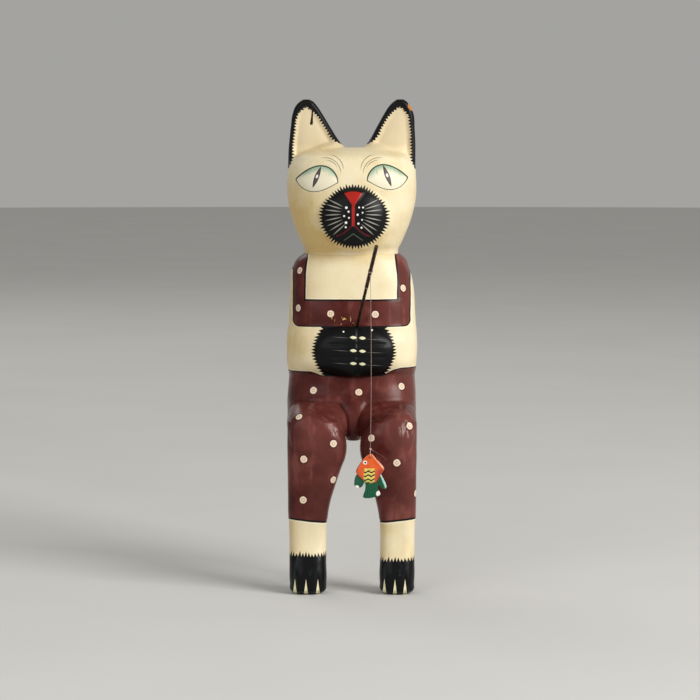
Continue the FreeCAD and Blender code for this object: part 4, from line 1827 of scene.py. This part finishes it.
@dataclass
class Knots:
    """The knot under the rod, and the knot, loop and stiff end above the fish."""

    strand: float = 0.25
    tie_radius: float = 0.85
    snell_radius: float = 1.15
    loop_half: float = 2.3
    tag: tuple[float, float, float] = (16.0, -10.5, -9.2)

    def build(self) -> list[bpy.types.Object]:
        """Makes both knots."""
        finish = Finish("knotted_line", coat=0.4, bump=0.3)
        tie_place = pivot("line_swing")
        tie_path = knot_path(tie_place, self.tie_radius - self.strand)
        tie_skin = tube(tie_path, self.strand, 12, looped=True)
        core = ball_block(tie_place, [self.tie_radius * 0.62] * 3, 12)
        tie_mesh = mesh_from("tie_knot", tie_skin.joined(core))
        nylon = finish.material(FishingLine.paint)
        tie = show("tie", tie_mesh, Body.TIE, ["tie_knot"], nylon)

        place = pivot("fish_spin")
        hole = pivot("fish_rock")
        knot_line = knot_path(place, self.snell_radius - self.strand)
        knot = tube(knot_line, self.strand, 12, looped=True)
        low = hole + np.array([0, 0, -0.2])
        bends = [
            place, place + [0, -0.6, -1.4],
            low + [0, -self.loop_half, 3.0], low + [0, -self.loop_half, 0.5],
            low + [0, -0.9, 0], low + [0, 0.9, 0], low + [0, self.loop_half, 0.5],
            low + [0, self.loop_half, 3.0], place + [0, 0.6, -1.4], place,
        ]
        loop = tube(open_curve(bends, 90), self.strand * 0.92, 12)
        end = place + np.array(self.tag)
        stiff = open_curve([place, place + np.array(self.tag) * 0.5 + [0.1, 0, 0.7], end], 24)
        tag = tube(stiff, np.linspace(0.3, 0.24, 24), 12)
        core = ball_block(place, [self.snell_radius * 0.6] * 3, 14)
        snell_mesh = mesh_from("fish_knot", knot.joined(loop, tag, core))
        material = Finish("stiff_line", coat=0.4, bump=0.3).material(self.paint)
        snell = show("snell", snell_mesh, Body.SNELL, ["fish_knot"], material)
        return [tie, snell]

    @staticmethod
    def paint(recipe: Recipe) -> Coating:
        """Whitish at the knot, brown and clear along the stiff end."""
        x = recipe.axes()[0]
        cloud = recipe.noise(2.0, 2.0)
        colour = recipe.mix(cloud, paint_colour(232, 204, 184), paint_colour(196, 158, 138))
        colour = recipe.mix(recipe.fade(x, 19.2, 21.0), colour, paint_colour(112, 72, 66))
        return Coating(recipe, colour, cloud * 0.1 + 0.28, cloud * 0.02)


# ---------------------------------------------------------------- fish


@dataclass
class Fish:
    """The small flat carved fish, with fins, a fan tail and a drilled nose."""

    body: tuple[tuple[float, float], ...] = (
        (1.2, 3.4), (6.2, -2.2), (13.4, -11), (9.6, -18), (5, -25),
        (-3.5, -25.6), (-9, -21.4), (-14.4, -14.6), (-11, -7.0), (-4.6, 0.8),
    )
    left_fin: tuple[tuple[float, float], ...] = (
        (-9, -16), (-15, -18.5), (-16.3, -28), (-12, -31), (-6.5, -26),
    )
    right_fin: tuple[tuple[float, float], ...] = (
        (8, -15), (11.5, -19), (15.8, -29), (12.4, -32), (6, -25),
    )
    fan: tuple[tuple[float, float], ...] = (
        (-4.5, -22), (6, -22), (7.4, -31), (9.6, -36.5),
        (6, -39.3), (-2.5, -41.0), (-7.8, -39.6), (-5.6, -32),
    )
    half_thick: float = 3.4
    plumb_degrees: float = -0.85
    hole_radius: float = 0.9
    fin_ribs: float = 62.0

    def build(self) -> bpy.types.Object:
        """Carves, drills, turns and paints the fish."""
        outline = closed_curve(self.body)
        blocks = [
            board(outline, self.half_thick),
            board(closed_curve(self.left_fin), self.half_thick * 0.45),
            board(closed_curve(self.right_fin), self.half_thick * 0.45),
            board(closed_curve(self.fan), self.half_thick * 0.55),
        ]
        carving = Carving("fish", blocks, 0.36, 3)
        x, y, z = carving.points.T
        nose = np.interp(z, [-42, -24, -11, -4, 4], [0.55, 1.0, 1.0, 0.46, 0.42])
        carving.move(np.stack([x * 0, y * (nose - 1), z * 0], axis=1))
        x, y, z = carving.points.T
        edge, _ = outline_distance(carving.points[:, [0, 2]], outline)
        fan_turn = np.arctan2(x + 0.5, -(z + 12.0))
        ribs = 0.5 + 0.5 * np.cos(fan_turn * self.fin_ribs)
        grooves = -0.28 * ribs * ease(edge, -0.4, -1.6) * ease(z, -14, -18)
        gill = -0.3 * bell(np.hypot(x + 0.5, z - 1.5), 11.5, 0.5) * ease(edge, 0.5, 2)
        carving.push(grooves + gill)
        carving.note("fish_edge", edge)
        carving.drill(np.array([0, -8.0, 0]), np.array([0, 8.0, 0]), self.hole_radius)
        turn = math.radians(self.plumb_degrees)
        x, y, z = carving.points.T
        turned_x = x * math.cos(turn) + z * math.sin(turn)
        turned_z = z * math.cos(turn) - x * math.sin(turn)
        turned = np.stack([turned_x, y, turned_z], axis=1)
        carving.move(turned + pivot("fish_rock") - carving.points)
        finish = Finish("fish_paint", coat=0.22, coat_roughness=0.14, specular=0.3)
        return carving.shown(Body.FISH, "fish_paint", ["fish"], finish.material(self.paint))

    def paint(self, recipe: Recipe) -> Coating:
        """Orange head and body, yellow scales with black waves, green fins with pale tips.

        Args:
            recipe: The material's recipe.

        Returns:
            The coating.
        """
        hole = pivot("fish_rock")
        place_x, _, place_z = recipe.axes()
        x = place_x - float(hole[0])
        z = place_z - float(hole[2])
        cloud = recipe.noise(5.0, 3.0)
        colour = recipe.mix(cloud, paint_colour(206, 70, 26), paint_colour(236, 112, 48))
        coating = Coating(recipe, colour, cloud * 0.12 + 0.22, cloud * 0.1)
        edge = recipe.note("fish_edge")
        purple = recipe.fade(x - z * 0.2, 7.0, 12.5) * recipe.fade(z, -8.0, -14.0)
        coating.lay(purple * 0.55, paint_colour(122, 34, 52))
        # Painted highlight: a paler band along the top right bevel of the body.
        back = recipe.over(x * 0.77 + z * 0.64, 2.55, 0.2)
        coating.lay(back, paint_colour(246, 152, 116), 0.05)

        scale_wave = recipe.math("SINE", x * 1.05 + 0.6) * 0.75 + (cloud - 0.5) * 1.6
        side = abs(x + 1.0 - (z + 18.0) * 0.06) + (recipe.noise(2.2, 1.0) - 0.5) * 2.0
        panel = recipe.under(side - 5.4, 0.0, 0.3) * recipe.within(z, -25.6, -10.8, 0.4)
        panel = panel * recipe.over(edge, 0.2, 0.2)
        greener = recipe.fade(z, -20.0, -26.0) * 0.5
        yellow = recipe.mix(greener, paint_colour(228, 206, 104), paint_colour(150, 176, 84))
        coating.lay(panel, yellow, 0.06)
        rows = recipe.math("FRACT", (z + scale_wave) / 4.0)
        bands = recipe.under(abs(rows - 0.5), 0.19, 0.04) * panel * recipe.under(z, -12.0, 0.6)
        coating.lay(bands, paint_colour(20, 22, 16))
        flecks = recipe.over(recipe.noise(1.6, 2.0), 0.62, 0.03) * panel
        flecks = flecks * recipe.over(z, -16.0, 1.0)
        coating.lay(flecks, paint_colour(196, 66, 30))

        fins = recipe.under(edge, 0.1, 0.15)
        green = recipe.mix(cloud, paint_colour(0, 78, 50), paint_colour(0, 108, 72))
        coating.lay(fins, green)
        turn = recipe.math("ARCTAN2", x + 0.5, -(z + 12.0))
        ribs = recipe.over(recipe.math("COSINE", turn * self.fin_ribs), 0.55, 0.25)
        grooves = ribs * recipe.under(edge, -0.8, 0.3)
        coating.lay(grooves * 0.8, paint_colour(4, 36, 26))
        outline = recipe.within(edge, -0.5, 0.15, 0.12) * recipe.under(z, -13.0, 1.0)
        coating.lay(outline, paint_colour(24, 20, 14))
        # Painted highlight along the outer edge of the right fin.
        right_fin_highlight = recipe.over(x * 0.9 + z * 0.36 - 2.3, 0.0, 0.35) * fins
        right_fin_highlight = right_fin_highlight * recipe.over(z, -31.0, 0.4)
        coating.lay(right_fin_highlight * recipe.over(x, 8.0), paint_colour(176, 208, 200))
        for tip_x, tip_z, radius in ((-13.4, -30.2, 2.4), (8.6, -36.2, 2.9)):
            gap = recipe.from_axis(x, z, tip_x, tip_z)
            coating.lay(recipe.under(gap, radius, 0.4) * fins, WHITE)
        gap = recipe.from_axis(x, z, -5.1, -5.0)
        coating.lay(recipe.under(gap, 1.9, 0.15), WHITE, 0.05)
        pupil = recipe.from_axis(x, z, -4.9, -5.1)
        coating.lay(recipe.under(pupil, 0.95, 0.12), BLACK, 0.05)
        return coating


# ---------------------------------------------------------------- making it all


def main() -> None:
    """Makes the studio, the line and then every piece, and reports each one."""
    logging.basicConfig(level=logging.INFO, format="%(name)s: %(message)s")
    studio = Studio()
    studio.camera()
    fishing_line = FishingLine()
    line = fishing_line.build()
    knots = Knots().build()
    rod = Rod().build()
    left_dots = ((-53.6, 29.5), (-19, 3.4), (-48.7, -12.5), (-18.4, -33.9), (-49.3, -53.9))
    right_dots = ((58.1, 20.9), (18.8, 8.6), (44.9, -15.7), (64.2, -49.1))
    pieces = [line, *knots, *rod]
    pieces.append(Torso().build())
    pieces.append(Head().build())
    left_claws = (-57.6, -46.4, -34.4)
    pieces.append(Leg(Side.LEFT, 13.0, 25.5, 26.5, left_dots, left_claws, -111.5).build())
    pieces.append(Leg(Side.RIGHT, 15.5, 28.0, 28.5, right_dots, (32.6, 43.2, 53.4), -116.5).build())
    pieces.append(Tail().build())
    pieces.append(Fish().build())
    Dowels().build()
    studio.floor()
    studio.lights()
    for piece in pieces:
        faces = len(piece.data.polygons) if piece.type == "MESH" else 0
        LOG.info("made %s with %d faces", piece.name, faces)


if __name__ == "__main__":
    main()
